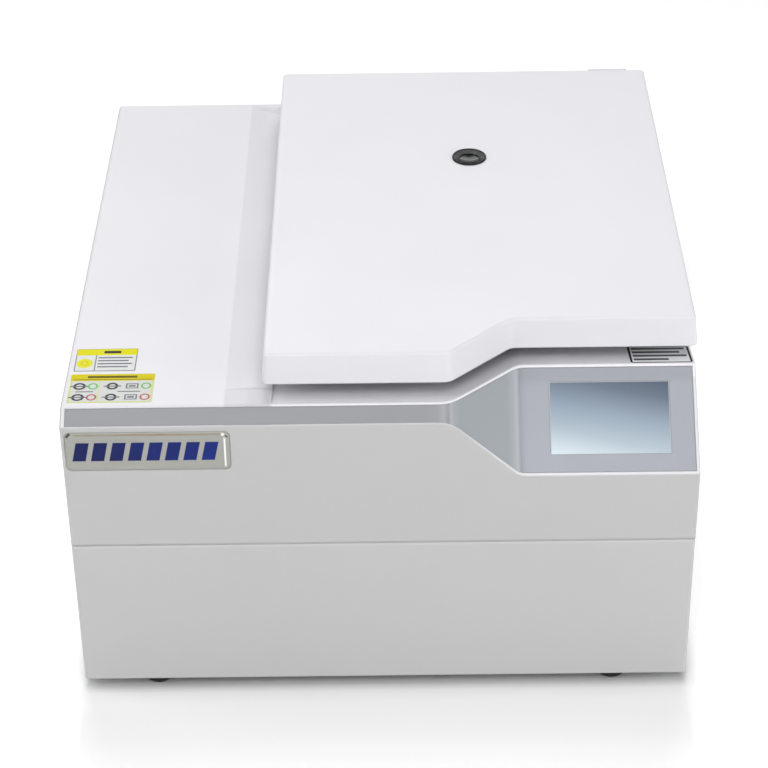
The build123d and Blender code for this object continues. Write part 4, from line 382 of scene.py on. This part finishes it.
def bare_copper():
    """Drawn copper tube, browned where hands and heat have been."""
    finish = Finish("bare_copper", Metallic=1.0)
    patch = finish.noise(26.0, 5.0, 0.6)
    lines = finish.noise(300.0, 2.0)
    finish.to("Base Color", finish.mix(patch.spread(0.0, 0.8), (0.86, 0.45, 0.30),
                                       (0.42, 0.20, 0.12)))
    finish.to("Roughness", patch.spread(0.22, 0.48))
    return finish.to("Normal", finish.bump(lines, 0.00002, 0.3))


def soft_rubber():
    """Matt black rubber with a dusty bloom and a moulded grain."""
    finish = Finish("soft_rubber", Specular_IOR_Level=0.3)
    grain = finish.noise(900.0, 3.0, 0.6)
    dust = finish.noise(60.0, 4.0)
    finish.to("Base Color", finish.mix(dust.spread(0.0, 0.35), (0.018, 0.018, 0.019),
                                       (0.075, 0.073, 0.07)))
    finish.to("Roughness", dust.spread(0.62, 0.82))
    return finish.to("Normal", finish.bump(grain, 0.00008, 0.5))


def cast_aluminium():
    """Sand-cast aluminium: pebbled skin, darker in its hollows."""
    finish = Finish("cast_aluminium", Metallic=0.8)
    skin = finish.noise(480.0, 4.0, 0.6)
    cloud = finish.noise(24.0, 3.0)
    finish.to("Base Color", finish.mix(skin.spread(0.0, 0.6), (0.36, 0.37, 0.39),
                                       (0.56, 0.57, 0.59)))
    finish.to("Roughness", cloud.spread(0.45, 0.62))
    return finish.to("Normal", finish.bump(skin, 0.00025, 0.5))


SHEET_PITCH = 0.0005


def laminated_iron():
    """Stack of thin stampings: level lines half a millimetre apart."""
    finish = Finish("laminated_iron", Metallic=0.7)
    z = finish.axes()[2]
    sheets = (z * (2 * pi / SHEET_PITCH)).sine() * 0.5 + 0.5
    rust = finish.noise(70.0, 4.0)
    finish.to("Base Color", finish.mix(rust.spread(0.0, 0.35), (0.20, 0.19, 0.19),
                                       (0.30, 0.17, 0.10)))
    finish.to("Roughness", rust.spread(0.45, 0.65))
    return finish.to("Normal", finish.bump(sheets, 0.00008, 0.6))


def machined_aluminium():
    """Milled rotor: cutter arcs at a fine feed and a clear hard skin."""
    finish = Finish("machined_aluminium", Metallic=1.0)
    feed = finish.node("ShaderNodeTexWave", {"wave_type": "RINGS", "rings_direction": "Z"},
                       {"Vector": finish.moved(centre=(0.3, -0.2, 0)), "Scale": 260.0,
                        "Distortion": 0.6, "Detail": 2.0})
    cloud = finish.noise(30.0, 3.0)
    finish.to("Base Color", finish.shades((0.68, 0.69, 0.71), cloud, 0.05))
    finish.to("Roughness", feed.spread(0.26, 0.36))
    return finish.to("Normal", finish.bump(feed, 0.000006, 0.4))


def anodised_sheet():
    """Pressed carriers: bead-blasted and anodised, bright along their edges."""
    finish = Finish("anodised_sheet", Metallic=0.9)
    blast = finish.noise(1600.0, 2.0)
    cloud = finish.noise(25.0, 3.0)
    finish.to("Base Color", finish.shades((0.56, 0.58, 0.61), cloud, 0.05))
    finish.to("Roughness", blast.spread(0.38, 0.50))
    return finish.to("Normal", finish.bump(blast, 0.00002, 0.5, finish.soft_edges(0.0006, 4)))


def plain_moulding(name, colour, rough):
    """Coloured moulding with eroded texture and handling marks."""
    finish = Finish(name, Specular_IOR_Level=0.45)
    grain = finish.noise(900.0, 3.0, 0.55)
    cloud = finish.noise(20.0, 3.0)
    finish.to("Base Color", finish.shades(colour, cloud, 0.04))
    finish.to("Roughness", cloud.spread(rough - 0.04, rough + 0.05))
    return finish.to("Normal", finish.bump(grain, 0.00003, 0.4, finish.soft_edges(0.0006, 4)))


def solder_mask():
    """Green board: tracks under the mask and pads in rows."""
    finish = Finish("solder_mask", Specular_IOR_Level=0.5)
    tracks = finish.node("ShaderNodeTexBrick", {"offset": 0.37, "squash": 1.4},
                         {"Vector": finish.where, "Scale": 60.0, "Mortar Size": 0.07,
                          "Color1": (0.02, 0.13, 0.05), "Color2": (0.03, 0.16, 0.07),
                          "Mortar": (0.05, 0.24, 0.10)})
    cloud = finish.noise(40.0, 3.0)
    finish.to("Base Color", tracks)
    return finish.to("Roughness", cloud.spread(0.30, 0.42))


def black_enamel():
    """Baked black enamel of the compressor: glossy, with runs and dust."""
    finish = Finish("black_enamel", Specular_IOR_Level=0.6)
    runs = finish.noise(40.0, 3.0, 0.5, finish.moved(stretch=(1, 1, 6)))
    dust = finish.noise(55.0, 5.0)
    finish.to("Base Color", finish.mix(dust.spread(0.0, 0.2), (0.014, 0.014, 0.015),
                                       (0.10, 0.095, 0.085)))
    finish.to("Roughness", dust.spread(0.18, 0.42))
    return finish.to("Normal", finish.bump(runs, 0.0002, 0.3))


# Tones of the screen's glow, a painted reflection, from low on the left upwards.
SCREEN_REFLECTION_TONES = ((0.0, (0.64, 0.74, 0.80)), (0.25, (0.40, 0.49, 0.56)), (0.5, (0.27, 0.345, 0.43)),
           (0.75, (0.125, 0.165, 0.22)), (0.95, (0.07, 0.10, 0.145)))


def screen_painted_reflection():
    """Display at rest, its glass dark; its glow, slate blue above and paling to white low on the
    left, with a pale border line, is a painted reflection.
    """
    finish = Finish("screen_painted_reflection", Specular_IOR_Level=0.35, Emission_Strength=1.0)
    low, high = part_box("screen_glass")
    x, _, z = finish.axes()
    across = (x - low.x) / (high.x - low.x)
    up = (z - low.z) / (high.z - low.z)
    cloud = finish.noise(16.0, 2.0)
    reflection_tone = finish.ramp(SCREEN_REFLECTION_TONES, up * 0.68 + across * 0.24 + cloud.spread(-0.015, 0.015))
    edge = ((0.5 - abs(across - 0.5)) * 1.6).smaller(0.5 - abs(up - 0.5))
    # Painted reflection given off as glow, with a pale border line.
    finish.to("Emission Color", finish.mix(edge.below(0.010, 0.004), reflection_tone, (0.42, 0.45, 0.47)))
    finish.to("Base Color", finish.mix(cloud.spread(0.0, 1.0), (0.012, 0.013, 0.015),
                                       (0.02, 0.022, 0.026)))
    return finish.to("Roughness", cloud.spread(0.10, 0.16))


# ---------------------------------------------------------------- prints
INK_EDGE = 0.12                # softness of a printed edge


class Print(Finish):
    """Laminated sticker: masks in millimetres from its centre paint flat inks."""

    def __init__(self, name, centre, paper):
        super().__init__(name, Specular_IOR_Level=0.06)
        x, y, _ = self.axes()
        self.u = (x - centre[0]) / MM
        self.v = (y - centre[1]) / MM
        self.grain = self.noise(800.0, 2.0)
        self.paint = self.shades(paper, self.grain, 0.02)

    def box(self, u0, u1, v0, v1):
        wide = abs(self.u - (u0 + u1) / 2).below((u1 - u0) / 2, INK_EDGE)
        high = abs(self.v - (v0 + v1) / 2).below((v1 - v0) / 2, INK_EDGE)
        return wide * high

    def oval(self, u, v, wide, high):
        reach = ((self.u - u) / wide) ** 2.0 + ((self.v - v) / high) ** 2.0
        return reach.below(1.0, INK_EDGE)

    def ring(self, u, v, wide, high, line):
        return self.oval(u, v, wide, high) - self.oval(u, v, wide - line, high - line)

    def ink(self, mask, colour):
        self.paint = self.mix(mask, self.paint, colour)

    def done(self):
        self.to("Base Color", self.paint)
        self.to("Roughness", self.grain.spread(0.34, 0.44))
        return self.to("Normal", self.bump(self.grain, 0.000008, 0.3))


YELLOW = (0.68, 0.64, 0.004)
PALE_YELLOW = (0.58, 0.62, 0.28)
AMBER = (0.60, 0.52, 0.008)
INK = (0.035, 0.036, 0.042)
SOFT_INK = (0.15, 0.16, 0.18)
LINE_GREY = (0.18, 0.19, 0.20)
GREEN = (0.14, 0.46, 0.12)
RED = (0.46, 0.09, 0.09)


def small_sticker_print(centre, wide, high):
    """Yellow head over two white cells; an oval in one, plain bars in the other."""
    sheet = Print("small_sticker_print", centre, (0.67, 0.68, 0.675))
    u, v = wide / 2, high / 2
    sheet.ink(1.0 - sheet.box(-u + 0.9, u - 0.9, -v + 0.9, v - 0.9), LINE_GREY)
    sheet.ink(sheet.box(-u + 0.5, u - 0.5, v - 0.29 * high, v - 0.5), YELLOW)
    sheet.ink(sheet.box(-u / 3 - 0.5, -u / 3 + 0.5, -v, v - 0.29 * high), LINE_GREY)
    sheet.ink(sheet.oval(-u * 0.68, -v * 0.30, 7.2, 7.6), (0.68, 0.66, 0.03))
    sheet.ink(sheet.ring(-u * 0.68, -v * 0.30, 3.4, 4.0, 1.0), AMBER)
    sheet.ink(sheet.box(-u * 0.1, u * 0.45, v - 7.8, v - 3.6), INK)
    for i in range(4):
        sheet.ink(sheet.box(-u * 0.26, u * (0.86 - 0.12 * (i % 2)), v * 0.14 - 5.0 * i,
                            v * 0.14 + 2.0 - 5.0 * i), SOFT_INK)
    return sheet.done()


def large_sticker_print(centre, wide, high):
    """Amber head and pale yellow border round two cells with rings and bars."""
    sheet = Print("large_sticker_print", centre, (0.61, 0.615, 0.60))
    u, v = wide / 2, high / 2
    sheet.ink(1.0 - sheet.box(-u + 2.0, u - 2.0, -v + 2.0, v - 2.0), PALE_YELLOW)
    sheet.ink(sheet.box(-u, u, v - 0.24 * high, v), AMBER)
    sheet.ink(sheet.box(-u * 0.60, u * 0.58, v - 6.4, v - 3.0), (0.12, 0.10, 0.01))
    sheet.ink(sheet.box(-u * 0.94, u * 0.94, v - 9.4, v - 8.4), (0.16, 0.13, 0.01))
    sheet.ink(sheet.box(-u * 0.31, -u * 0.28, -v + 3, v - 0.26 * high), PALE_YELLOW)
    for side, mark in ((3.4, GREEN), (-14.2, RED)):
        for place, half in ((-u * 0.76, 5.6), (u * 0.02, 5.2)):
            sheet.ink(sheet.ring(place, side, half, 5.4, 2.2), INK)
            sheet.ink(sheet.box(place - half - 2.6, place + half + 2.6, side - 0.9, side + 0.9),
                      SOFT_INK)
        sheet.ink(sheet.box(u * 0.34, u * 0.64, side - 4.0, side + 4.0)
                  - sheet.box(u * 0.34 + 1.3, u * 0.64 - 1.3, side - 2.7, side + 2.7), SOFT_INK)
        sheet.ink(sheet.box(u * 0.41, u * 0.57, side - 1.3, side + 1.3), SOFT_INK)
        sheet.ink(sheet.ring(-u * 0.44, side, 4.6, 5.0, 1.6), mark)
        sheet.ink(sheet.ring(u * 0.82, side, 4.6, 5.0, 1.6), mark)
    sheet.ink(sheet.box(-u * 0.84, -u * 0.42, -6.0, -4.6), SOFT_INK)
    sheet.ink(sheet.box(u * 0.16, u * 0.70, -6.0, -4.6), SOFT_INK)
    return sheet.done()


def ramp_label_print(centre, wide, high):
    """Pale label with a black line round it and four plain bars; paper and bars are painted light
    in the shade under the lid.
    """
    # Paper and bars lighter than the other stickers' inks: painted light in the shade under the
    # lid.
    sheet = Print("ramp_label_print", centre, (0.84, 0.85, 0.86))
    u, v = wide / 2, high / 2
    sheet.ink(1.0 - sheet.box(-u + 1.9, u - 1.9, -v + 1.9, v - 1.9), (0.004, 0.004, 0.005))
    for i, end in enumerate((0.25, 0.86, 0.66, 0.84)):
        low = -v + 6.0 + 8.7 * i
        sheet.ink(sheet.box(-u * 0.88, u * end, low, low + 4.6), (0.10, 0.10, 0.11))
    return sheet.done()


# Blocks on the badge, in millimetres from its centre
BLOCK_STEP = 16.15
BLOCKS_WIDE, BLOCKS_HIGH = 64.4, 9.6   # half sizes of the row
BLOCK_LEAN = 0.22


def badge_face(centre):
    """Satin badge: eight slanted blue blocks; painted reflections on its rim, bright, brown and
    dark.
    """
    finish = Finish("badge_face", Metallic=0.1, Specular_IOR_Level=0.22)
    x, _, z = finish.axes()
    u = (x - centre[0]) / MM
    v = (z - centre[1]) / MM
    along = u - v * BLOCK_LEAN
    step = (along + 4 * BLOCK_STEP) / BLOCK_STEP
    inside = step.math("FRACT", step)
    blocks = (abs(inside - 0.38).below(0.36, 0.01) * abs(v).below(BLOCKS_HIGH, 0.15)
              * abs(along).below(BLOCKS_WIDE, 0.15))
    lines = finish.noise(500.0, 3.0, 0.6, finish.moved(stretch=(20, 1, 1)))
    cloud = finish.noise(45.0, 2.0)
    blue = finish.mix((step * 0.125 + cloud.spread(-0.16, 0.16)).smaller(1.0),
                      (0.004, 0.008, 0.070), (0.005, 0.020, 0.19))
    paint = finish.shades((0.358, 0.361, 0.335), lines, 0.03)
    # Painted reflections on the rim: a brown line along the top, a bright line and spot on the
    # right, dark glints at the top corners.
    brown_reflection = abs(v - 17.6).below(0.9, 0.5) * abs(u).below(64.0, 1.5)
    paint = finish.mix(brown_reflection * cloud.spread(0.35, 1.0), paint, (0.30, 0.22, 0.13))
    bright = abs(u - 67.6).below(0.8, 0.4) * abs(v + 1.5).below(15.0, 1.5)
    highlight_spot = ((u - 66.3) ** 2.0 + (v - 17.2) ** 2.0).below(2.4, 1.2)
    paint = finish.mix(bright.larger(highlight_spot), paint, (0.86, 0.86, 0.84))
    u_left, v_left = u + 68.6, v - 17.4
    glint_left = (abs(u_left - v_left * 0.9).below(1.4, 0.5)
                  * abs(u_left + v_left).below(3.6, 0.8))
    u_right, v_right = u - 69.4, v - 15.4
    glint_right = (abs(u_right + v_right).below(0.9, 0.4)
                   * abs(u_right - v_right).below(2.2, 0.6))
    paint = finish.mix(glint_left.larger(glint_right), paint, (0.05, 0.048, 0.045))
    finish.to("Base Color", finish.mix(blocks, paint, blue))
    finish.to("Roughness", lines.spread(0.32, 0.40))
    return finish.to("Normal", finish.bump(lines, 0.000004, 0.4))


def sight_black():
    """Black glass-like plastic, with painted light in grey on its inner slope and wiping marks.
    """
    finish = Finish("bezel_black", Specular_IOR_Level=0.2)
    x, y, _ = finish.axes()
    centre = sum(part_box("sight_ring"), Vector()) / 2
    radius = ((x - centre.x) ** 2.0 + (y - centre.y) ** 2.0) ** 0.5
    # Painted light: the inner slope, which faces up, shown grey.
    slope = radius.below(0.0147, 0.0004) * radius.above(0.0101, 0.0004)
    wipe = finish.noise(160.0, 3.0)
    finish.to("Base Color", finish.mix(slope * wipe.spread(0.8, 1.0), (0.006, 0.0065, 0.007),
                                       (0.085, 0.088, 0.088)))
    return finish.to("Roughness", wipe.spread(0.10, 0.18))


def dark_window():
    """Dark dished glass of low mirroring, with wiping marks."""
    finish = Finish("dark_window", IOR=1.4)
    wipe = finish.noise(160.0, 3.0)
    finish.to("Base Color", finish.mix(wipe.spread(0.0, 1.0), (0.010, 0.011, 0.011),
                                       (0.018, 0.019, 0.019)))
    return finish.to("Roughness", wipe.spread(0.05, 0.10))


BOWL_CENTRE = (0.0885, 0.087)  # middle of the chamber, seen from above, in metres


def give(finish, *nodes):
    """Puts a finish on CAD nodes in place of their plain slot colour."""
    for node in nodes:
        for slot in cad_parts[node].material_slots:
            slot.material = finish.material


def dress_frame():
    """Every CAD node that shows gets its finish."""
    give(moulded_white(), "upper_shell", "lid_cover")
    give(painted_cabinet(), "lower_cabinet")
    give(satin_film(), "trim_inlay")
    give(zinc_sheet(), "base_pan", "rear_panel", "rear_panel_screws", "motor_plate",
         "lid_frame", "lid_strikers", "lid_hinge_arms", "hinge_brackets", "hinge_pins",
         "hinge_screws", "latch_bracket", "latch_bar", "condenser", "fan_shroud")
    give(spun_steel("spun_bowl", BOWL_CENTRE, (0.66, 0.67, 0.68)), "chamber_bowl")
    give(spun_steel("ground_steel", BOWL_CENTRE, (0.70, 0.70, 0.72), 900.0), "motor_bearings",
         "motor_shaft", "latch_plunger")
    give(rigid_foam(), "chamber_insulation")
    give(bare_copper(), "evaporator", "refrigerant_pipes", "filter_drier")
    give(soft_rubber(), "rubber_feet", "chamber_seal", "lid_buffers", "vibration_mounts",
         "motor_boot", "compressor_mounts")
    give(cast_aluminium(), "motor_housing", "drive_heatsink")
    give(laminated_iron(), "motor_stator", "motor_rotor")
    give(machined_aluminium(), "rotor_yoke", "rotor_nut")
    give(anodised_sheet(), "plate_carrier_a", "plate_carrier_b")
    give(plain_moulding("grey_liner", (0.60, 0.61, 0.63), 0.45), "lid_liner")
    give(plain_moulding("grey_hood", (0.56, 0.57, 0.59), 0.42), "lid_hinge_covers")
    give(plain_moulding("black_moulding", (0.022, 0.022, 0.024), 0.30), "power_inlet",
         "switch_housing", "power_rocker", "condenser_fan", "fan_motor", "latch_actuator",
         "display_module")
    give(solder_mask(), "control_board", "drive_board")
    give(black_enamel(), "compressor")
    give(screen_painted_reflection(), "screen_glass")


# ---------------------------------------------------------------- room
# Painted shadow on the floor in front of the machine, a gradient which multiplies its
# white: the machine's own painted shadow, a pale strip and a dim patch. Share of the way
# from SHADE_START.
SHADE_START, SHADE_SPAN = -0.290, 0.170
FLOOR_PAINTED_SHADOW = (
    (0.0, 0.64), (0.04, 0.64), (0.075, 0.82), (0.11, 0.94), (0.20, 0.94), (0.30, 0.905),
    (0.48, 0.89), (1.0, 1.0))
# Light the floor gives off: an even glow away from the machine, painted light beside it, an even
# glow far off.
NEAR_GLOW, BESIDE_GLOW, FAR_GLOW = 0.09, 0.24, 0.05
BLACK, WHITE = (0.0, 0.0, 0.0), (1.0, 1.0, 1.0)
UNDER_FEET = 0.0002            # gap that keeps floor and feet from flickering, in metres
FLAT_REACH = 3.6               # half width of the flat floor
COVE_RADIUS = 1.2
WALL_HEIGHT = 3.0
FLAT_SHARE, WALL_SHARE = 0.55, 0.25    # of the half profile


def pale_floor():
    """Seamless floor: flat near the machine, curving up into a wall on all four sides.

    x and y run out along one profile each; z is the greater of their two heights.
    A faint light of its own keeps the paper white away from the machine, and a stronger painted
    light beside it lifts the shade there.
    """
    finish = Finish("pale_floor", Specular_IOR_Level=0.5, Emission_Strength=1.0)
    cloud = finish.noise(1.5, 2.0)
    x, y, _ = finish.axes()
    wide, deep = abs(x), abs(y)
    tones = [(at, (tone,) * 3) for at, tone in FLOOR_PAINTED_SHADOW]
    shade = finish.ramp(tones, (y - SHADE_START) / -SHADE_SPAN)
    # The painted shadow lies only in front of the machine, within its width.
    shade = finish.mix(wide.below(0.281, 0.004) * y.below(-0.280, 0.004), WHITE, shade)
    pale = finish.shades((0.95, 0.95, 0.95), cloud, 0.006)
    finish.to("Base Color", finish.blend("MULTIPLY", pale, shade))
    finish.to("Roughness", cloud.spread(0.35, 0.45))
    near = (wide - 0.28).larger(deep - 0.30).above(0.07, 0.07) * NEAR_GLOW
    beside = wide.above(0.290, 0.008) * wide.below(0.48, 0.14) * deep.below(0.42, 0.14)
    glow = near.larger(beside * BESIDE_GLOW)
    glow = glow.larger(wide.larger(deep).above(2.6, 0.6) * FAR_GLOW)
    finish.to("Emission Color", finish.mix(glow, BLACK, WHITE))
    along = np.linspace(-1.0, 1.0, 61)
    past_flat = np.clip((abs(along) - FLAT_SHARE) / (1.0 - FLAT_SHARE - WALL_SHARE), 0, 1)
    past_cove = np.clip((abs(along) - (1.0 - WALL_SHARE)) / WALL_SHARE, 0, 1)
    turn = past_flat * pi / 2
    out = np.where(abs(along) < FLAT_SHARE, along / FLAT_SHARE * FLAT_REACH,
                   np.sign(along) * (FLAT_REACH + COVE_RADIUS * np.sin(turn)))
    rise = COVE_RADIUS * (1 - np.cos(turn)) + past_cove * WALL_HEIGHT
    grid_x, grid_y = np.meshgrid(out, out)
    grid_z = np.maximum(*np.meshgrid(rise, rise)) - UNDER_FEET
    floor = grid_piece("floor", np.stack([grid_x, grid_y, grid_z], -1), finish)


def lamp(name, place, aim, size, power):
    """Soft rectangular lamp that looks at a point."""
    light = bpy.data.lights.new(name, "AREA")
    light.shape = "RECTANGLE"
    light.size, light.size_y = size
    light.energy = power
    piece = bpy.data.objects.new(name, light)
    bpy.context.scene.collection.objects.link(piece)
    way = Vector(aim) - Vector(place)
    piece.matrix_world = (Matrix.Translation(Vector(place))
                          @ way.to_track_quat("-Z", "Y").to_matrix().to_4x4())


def set_lamps():
    """Soft lamps all round: most light comes from the room itself."""
    centre = (0.0, 0.0, 0.2)
    lamp("high_front_lamp", (0.0, -2.4, 2.9), (0.0, 0.0, 0.3), (2.4, 1.2), 54.0)
    lamp("top_lamp", (0.0, 0.1, 3.2), centre, (3.6, 3.6), 9.0)
    lamp("left_lamp", (-1.9, -0.4, 2.6), centre, (1.6, 1.6), 25.0)
    lamp("right_lamp", (2.4, -1.6, 1.0), centre, (1.6, 1.2), 20.0)
    lamp("back_lamp", (0.0, 2.4, 2.4), centre, (2.4, 1.4), 30.0)
    world = bpy.data.worlds.new("studio")
    world.use_nodes = True
    sky = world.node_tree.nodes["Background"]
    sky.inputs["Color"].default_value = (*WHITE, 1.0)
    sky.inputs["Strength"].default_value = 0.18
    bpy.context.scene.world = world
    bpy.context.scene.view_settings.view_transform = "Standard"


# ---------------------------------------------------------------- surfaces
def new_piece(name, points, faces, smooth, finish):
    """Object at the origin from points and faces; smooth holds one flag for each face."""
    mesh = bpy.data.meshes.new(name)
    mesh.from_pydata(points.reshape(-1, 3).tolist(), [], faces)
    mesh.polygons.foreach_set("use_smooth", smooth)
    mesh.materials.append(finish.material)
    piece = bpy.data.objects.new(name, mesh)
    bpy.context.scene.collection.objects.link(piece)
    return piece


def corners_of(points):
    """Number of each point of a grid or of a stack of rings."""
    rows, columns = points.shape[:2]
    return np.arange(rows * columns).reshape(rows, columns)


def grid_piece(name, points, finish):
    """Mesh from a grid of points, one quad between each four neighbours."""
    corner = corners_of(points)
    faces = np.stack([corner[:-1, :-1], corner[:-1, 1:], corner[1:, 1:], corner[1:, :-1]], -1)
    faces = faces.reshape(-1, 4).tolist()
    return new_piece(name, points, faces, [True] * len(faces), finish)


def closed_piece(name, rings, finish):
    """Rings of points, each joined to the next, with a flat cap on both ends."""
    corner = corners_of(rings)
    after = np.roll(corner, -1, axis=1)
    sides = np.stack([corner[:-1], after[:-1], after[1:], corner[1:]], -1).reshape(-1, 4)
    caps = [corner[0, ::-1].tolist(), corner[-1].tolist()]
    return new_piece(name, rings, sides.tolist() + caps, [True] * len(sides) + [False] * 2,
                     finish)


def looped_piece(name, rings, finish, smooth=True):
    """Rings of points closed both ways, the last ring joined to the first."""
    corner = corners_of(rings)
    after, above = np.roll(corner, -1, axis=1), np.roll(corner, -1, axis=0)
    faces = np.stack([corner, after, np.roll(after, -1, axis=0), above], -1).reshape(-1, 4)
    return new_piece(name, rings, faces.tolist(), [smooth] * len(faces), finish)


def rounded_outline(wide, high, radius, count=9):
    """Points round a rounded rectangle: corner centre + radius (cos t, sin t)."""
    turn = np.linspace(0.0, pi / 2, count)
    parts = []
    for quarter, (u, v) in enumerate(((1, 1), (-1, 1), (-1, -1), (1, -1))):
        t = turn + quarter * pi / 2
        parts.append(np.stack([u * (wide / 2 - radius) + radius * np.cos(t),
                               v * (high / 2 - radius) + radius * np.sin(t)], -1))
    return np.concatenate(parts)


def turned_rings(profile, count=96):
    """Profile turned about the sight glass: (r cos t, r sin t, z) for each (r, z)."""
    low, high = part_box("sight_ring")
    centre = (low + high) / 2
    turn = np.linspace(0.0, 2 * pi, count, endpoint=False)
    radius, height = (np.array(profile, float) * MM).T
    return np.stack([centre.x + radius[:, None] * np.cos(turn),
                     centre.y + radius[:, None] * np.sin(turn),
                     np.broadcast_to(height[:, None], (len(radius), count))], -1)


def cushion(name, centre, across, up, size, radius, profile, finish):
    """Rounded plate: point = centre + u across + v up + lift (across x up).

    u and v run round a rounded rectangle that each (inset, lift) of the profile
    draws in and raises.
    """
    across, up = np.array(across, float), np.array(up, float)
    out = np.cross(across, up)
    rings = []
    for inset, lift in profile:
        u, v = rounded_outline(size[0] - 2 * inset, size[1] - 2 * inset,
                               max(radius - inset, 0.3)).T
        rings.append(np.array(centre) + u[:, None] * across + v[:, None] * up + lift * out)
    return closed_piece(name, np.array(rings) * MM, finish)


# ---------------------------------------------------------------- pieces
# Sight glass, in millimetres
LID_SKIN = 349.4               # top of the lid, on which the bezel's lip sits
LIP_RADIUS, LIP_ROUND = 17.0, 1.1
TUBE_RADIUS, TUBE_BORE = 13.8, 12.6
WINDOW_RADIUS, WINDOW_DROP, WINDOW_SAG = 12.5, 3.7, 1.8
THROAT = ((15.2, 0.15), (14.8, 0.45), (10.0, 2.7), (9.7, 3.2), (TUBE_BORE, 3.6))


def add_sight_glass():
    """Bezel with a rounded lip and a sloping throat, and the dished dark window in it."""
    low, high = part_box("sight_ring")
    foot, top = low.z / MM, high.z / MM
    lens_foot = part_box("sight_lens")[0].z / MM
    lip = [(LIP_RADIUS - LIP_ROUND + LIP_ROUND * cos(t), top - LIP_ROUND + LIP_ROUND * sin(t))
           for t in np.linspace(0.0, pi / 2, 6)]
    outside = [(TUBE_BORE, foot), (TUBE_RADIUS, foot), (TUBE_RADIUS, LID_SKIN),
               (LIP_RADIUS, LID_SKIN)]
    throat = [(r, top - drop) for r, drop in THROAT]
    bezel = looped_piece("sight_bezel", turned_rings(outside + lip + throat), sight_black())
    rim = top - WINDOW_DROP
    dished = [(r, rim - WINDOW_SAG * (1 - (r / 10.0) ** 2))
              for r in (9.9, 8.5, 7.0, 5.5, 4.0, 2.5, 1.2, 0.4)]
    window = [(WINDOW_RADIUS, lens_foot), (WINDOW_RADIUS, rim)] + dished
    glass = closed_piece("sight_window", turned_rings(window), dark_window())
    for piece, node in ((bezel, "sight_ring"), (glass, "sight_lens")):
        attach(piece, "lid")
        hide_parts(node)


def add_badge():
    """Cushioned name plate with a rounded rim, its polish painted reflections, and a satin,
    printed face.
    """
    low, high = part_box("name_plate")
    middle = (low + high) / 2
    centre, size = middle / MM, (high - low) / MM
    rim = [(2.2 * (1 - cos(t)), 0.35 + 1.15 * sin(t)) for t in np.linspace(0.0, pi / 2, 7)]
    profile = [(0.0, 0.0), *rim, (2.6, 1.47), (3.0, 1.45)]
    plate = cushion("badge", (centre.x, high.y / MM, centre.z), (1, 0, 0), (0, 0, 1),
                    (size.x, size.z), 5.0, profile, badge_face((middle.x, middle.z)))
    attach(plate, "cabinet")
    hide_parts("name_plate")


# Stickers, in millimetres
DECK = 307.0
STICKER_EDGE = ((0.0, 0.0), (0.0, 0.084), (0.05, 0.126), (0.12, 0.14))   # inset, lift
RAMP_RUN, RAMP_FALL = 43.0, 9.0
RAMP_TOP = (250.3, -227.6, DECK)       # upper end of the ramp, above the label


def add_sticker(name, printed, centre, size, radius, up=(0, 1, 0)):
    """Thin sticker, its edge rounded, stuck on the shell."""
    finish = printed((centre[0] * MM, centre[1] * MM), *size)
    sticker = cushion(name, centre, (1, 0, 0), up, size, radius, STICKER_EDGE, finish)
    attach(sticker, "cabinet")


def add_stickers():
    """Two stickers on the deck and a label on the ramp under the lid's edge."""
    add_sticker("small_sticker", small_sticker_print, (-246.5, -211.5, DECK), (55.0, 37.0), 1.0)
    add_sticker("large_sticker", large_sticker_print, (-237.7, -258.0, DECK), (74.5, 46.0), 1.2)
    fall = np.array([0.0, RAMP_RUN, -RAMP_FALL]) / np.hypot(RAMP_RUN, RAMP_FALL)
    middle = np.array(RAMP_TOP) + fall * (1.7 + 41.0 / 2)
    add_sticker("ramp_label", ramp_label_print, middle, (55.4, 41.0), 3.2, fall)


# Seam strip, in millimetres: its four edges as (inset from the walls, lift)
STRIP_EDGES = ((0.55, 0.05), (0.55, 1.55), (1.15, 1.55), (1.15, 0.05))
WALL_CORNER = 3.5


def add_seam_strip():
    """Pale strip set back a little in the joint between cabinet and shell: painted light that
    makes the joint's shade read lighter.
    """
    low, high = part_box("lower_cabinet")
    wide, deep = (high.x - low.x) / MM, (high.y - low.y) / MM
    rings = []
    for inset, lift in STRIP_EDGES:
        u, v = rounded_outline(wide - 2 * inset, deep - 2 * inset, WALL_CORNER - inset).T
        rings.append(np.stack([(low.x + high.x) / 2 + u * MM, (low.y + high.y) / 2 + v * MM,
                               np.full(len(u), high.z + lift * MM)], -1))
    # Pale grey: painted light in the joint's shade.
    grey = plain_moulding("seam_painted_light", (0.45, 0.45, 0.46), 0.5)
    strip = looped_piece("seam_strip", np.array(rings), grey, False)
    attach(strip, "cabinet")


set_camera()
dress_frame()
add_badge()
add_seam_strip()
add_stickers()
add_sight_glass()
pale_floor()
set_lamps()
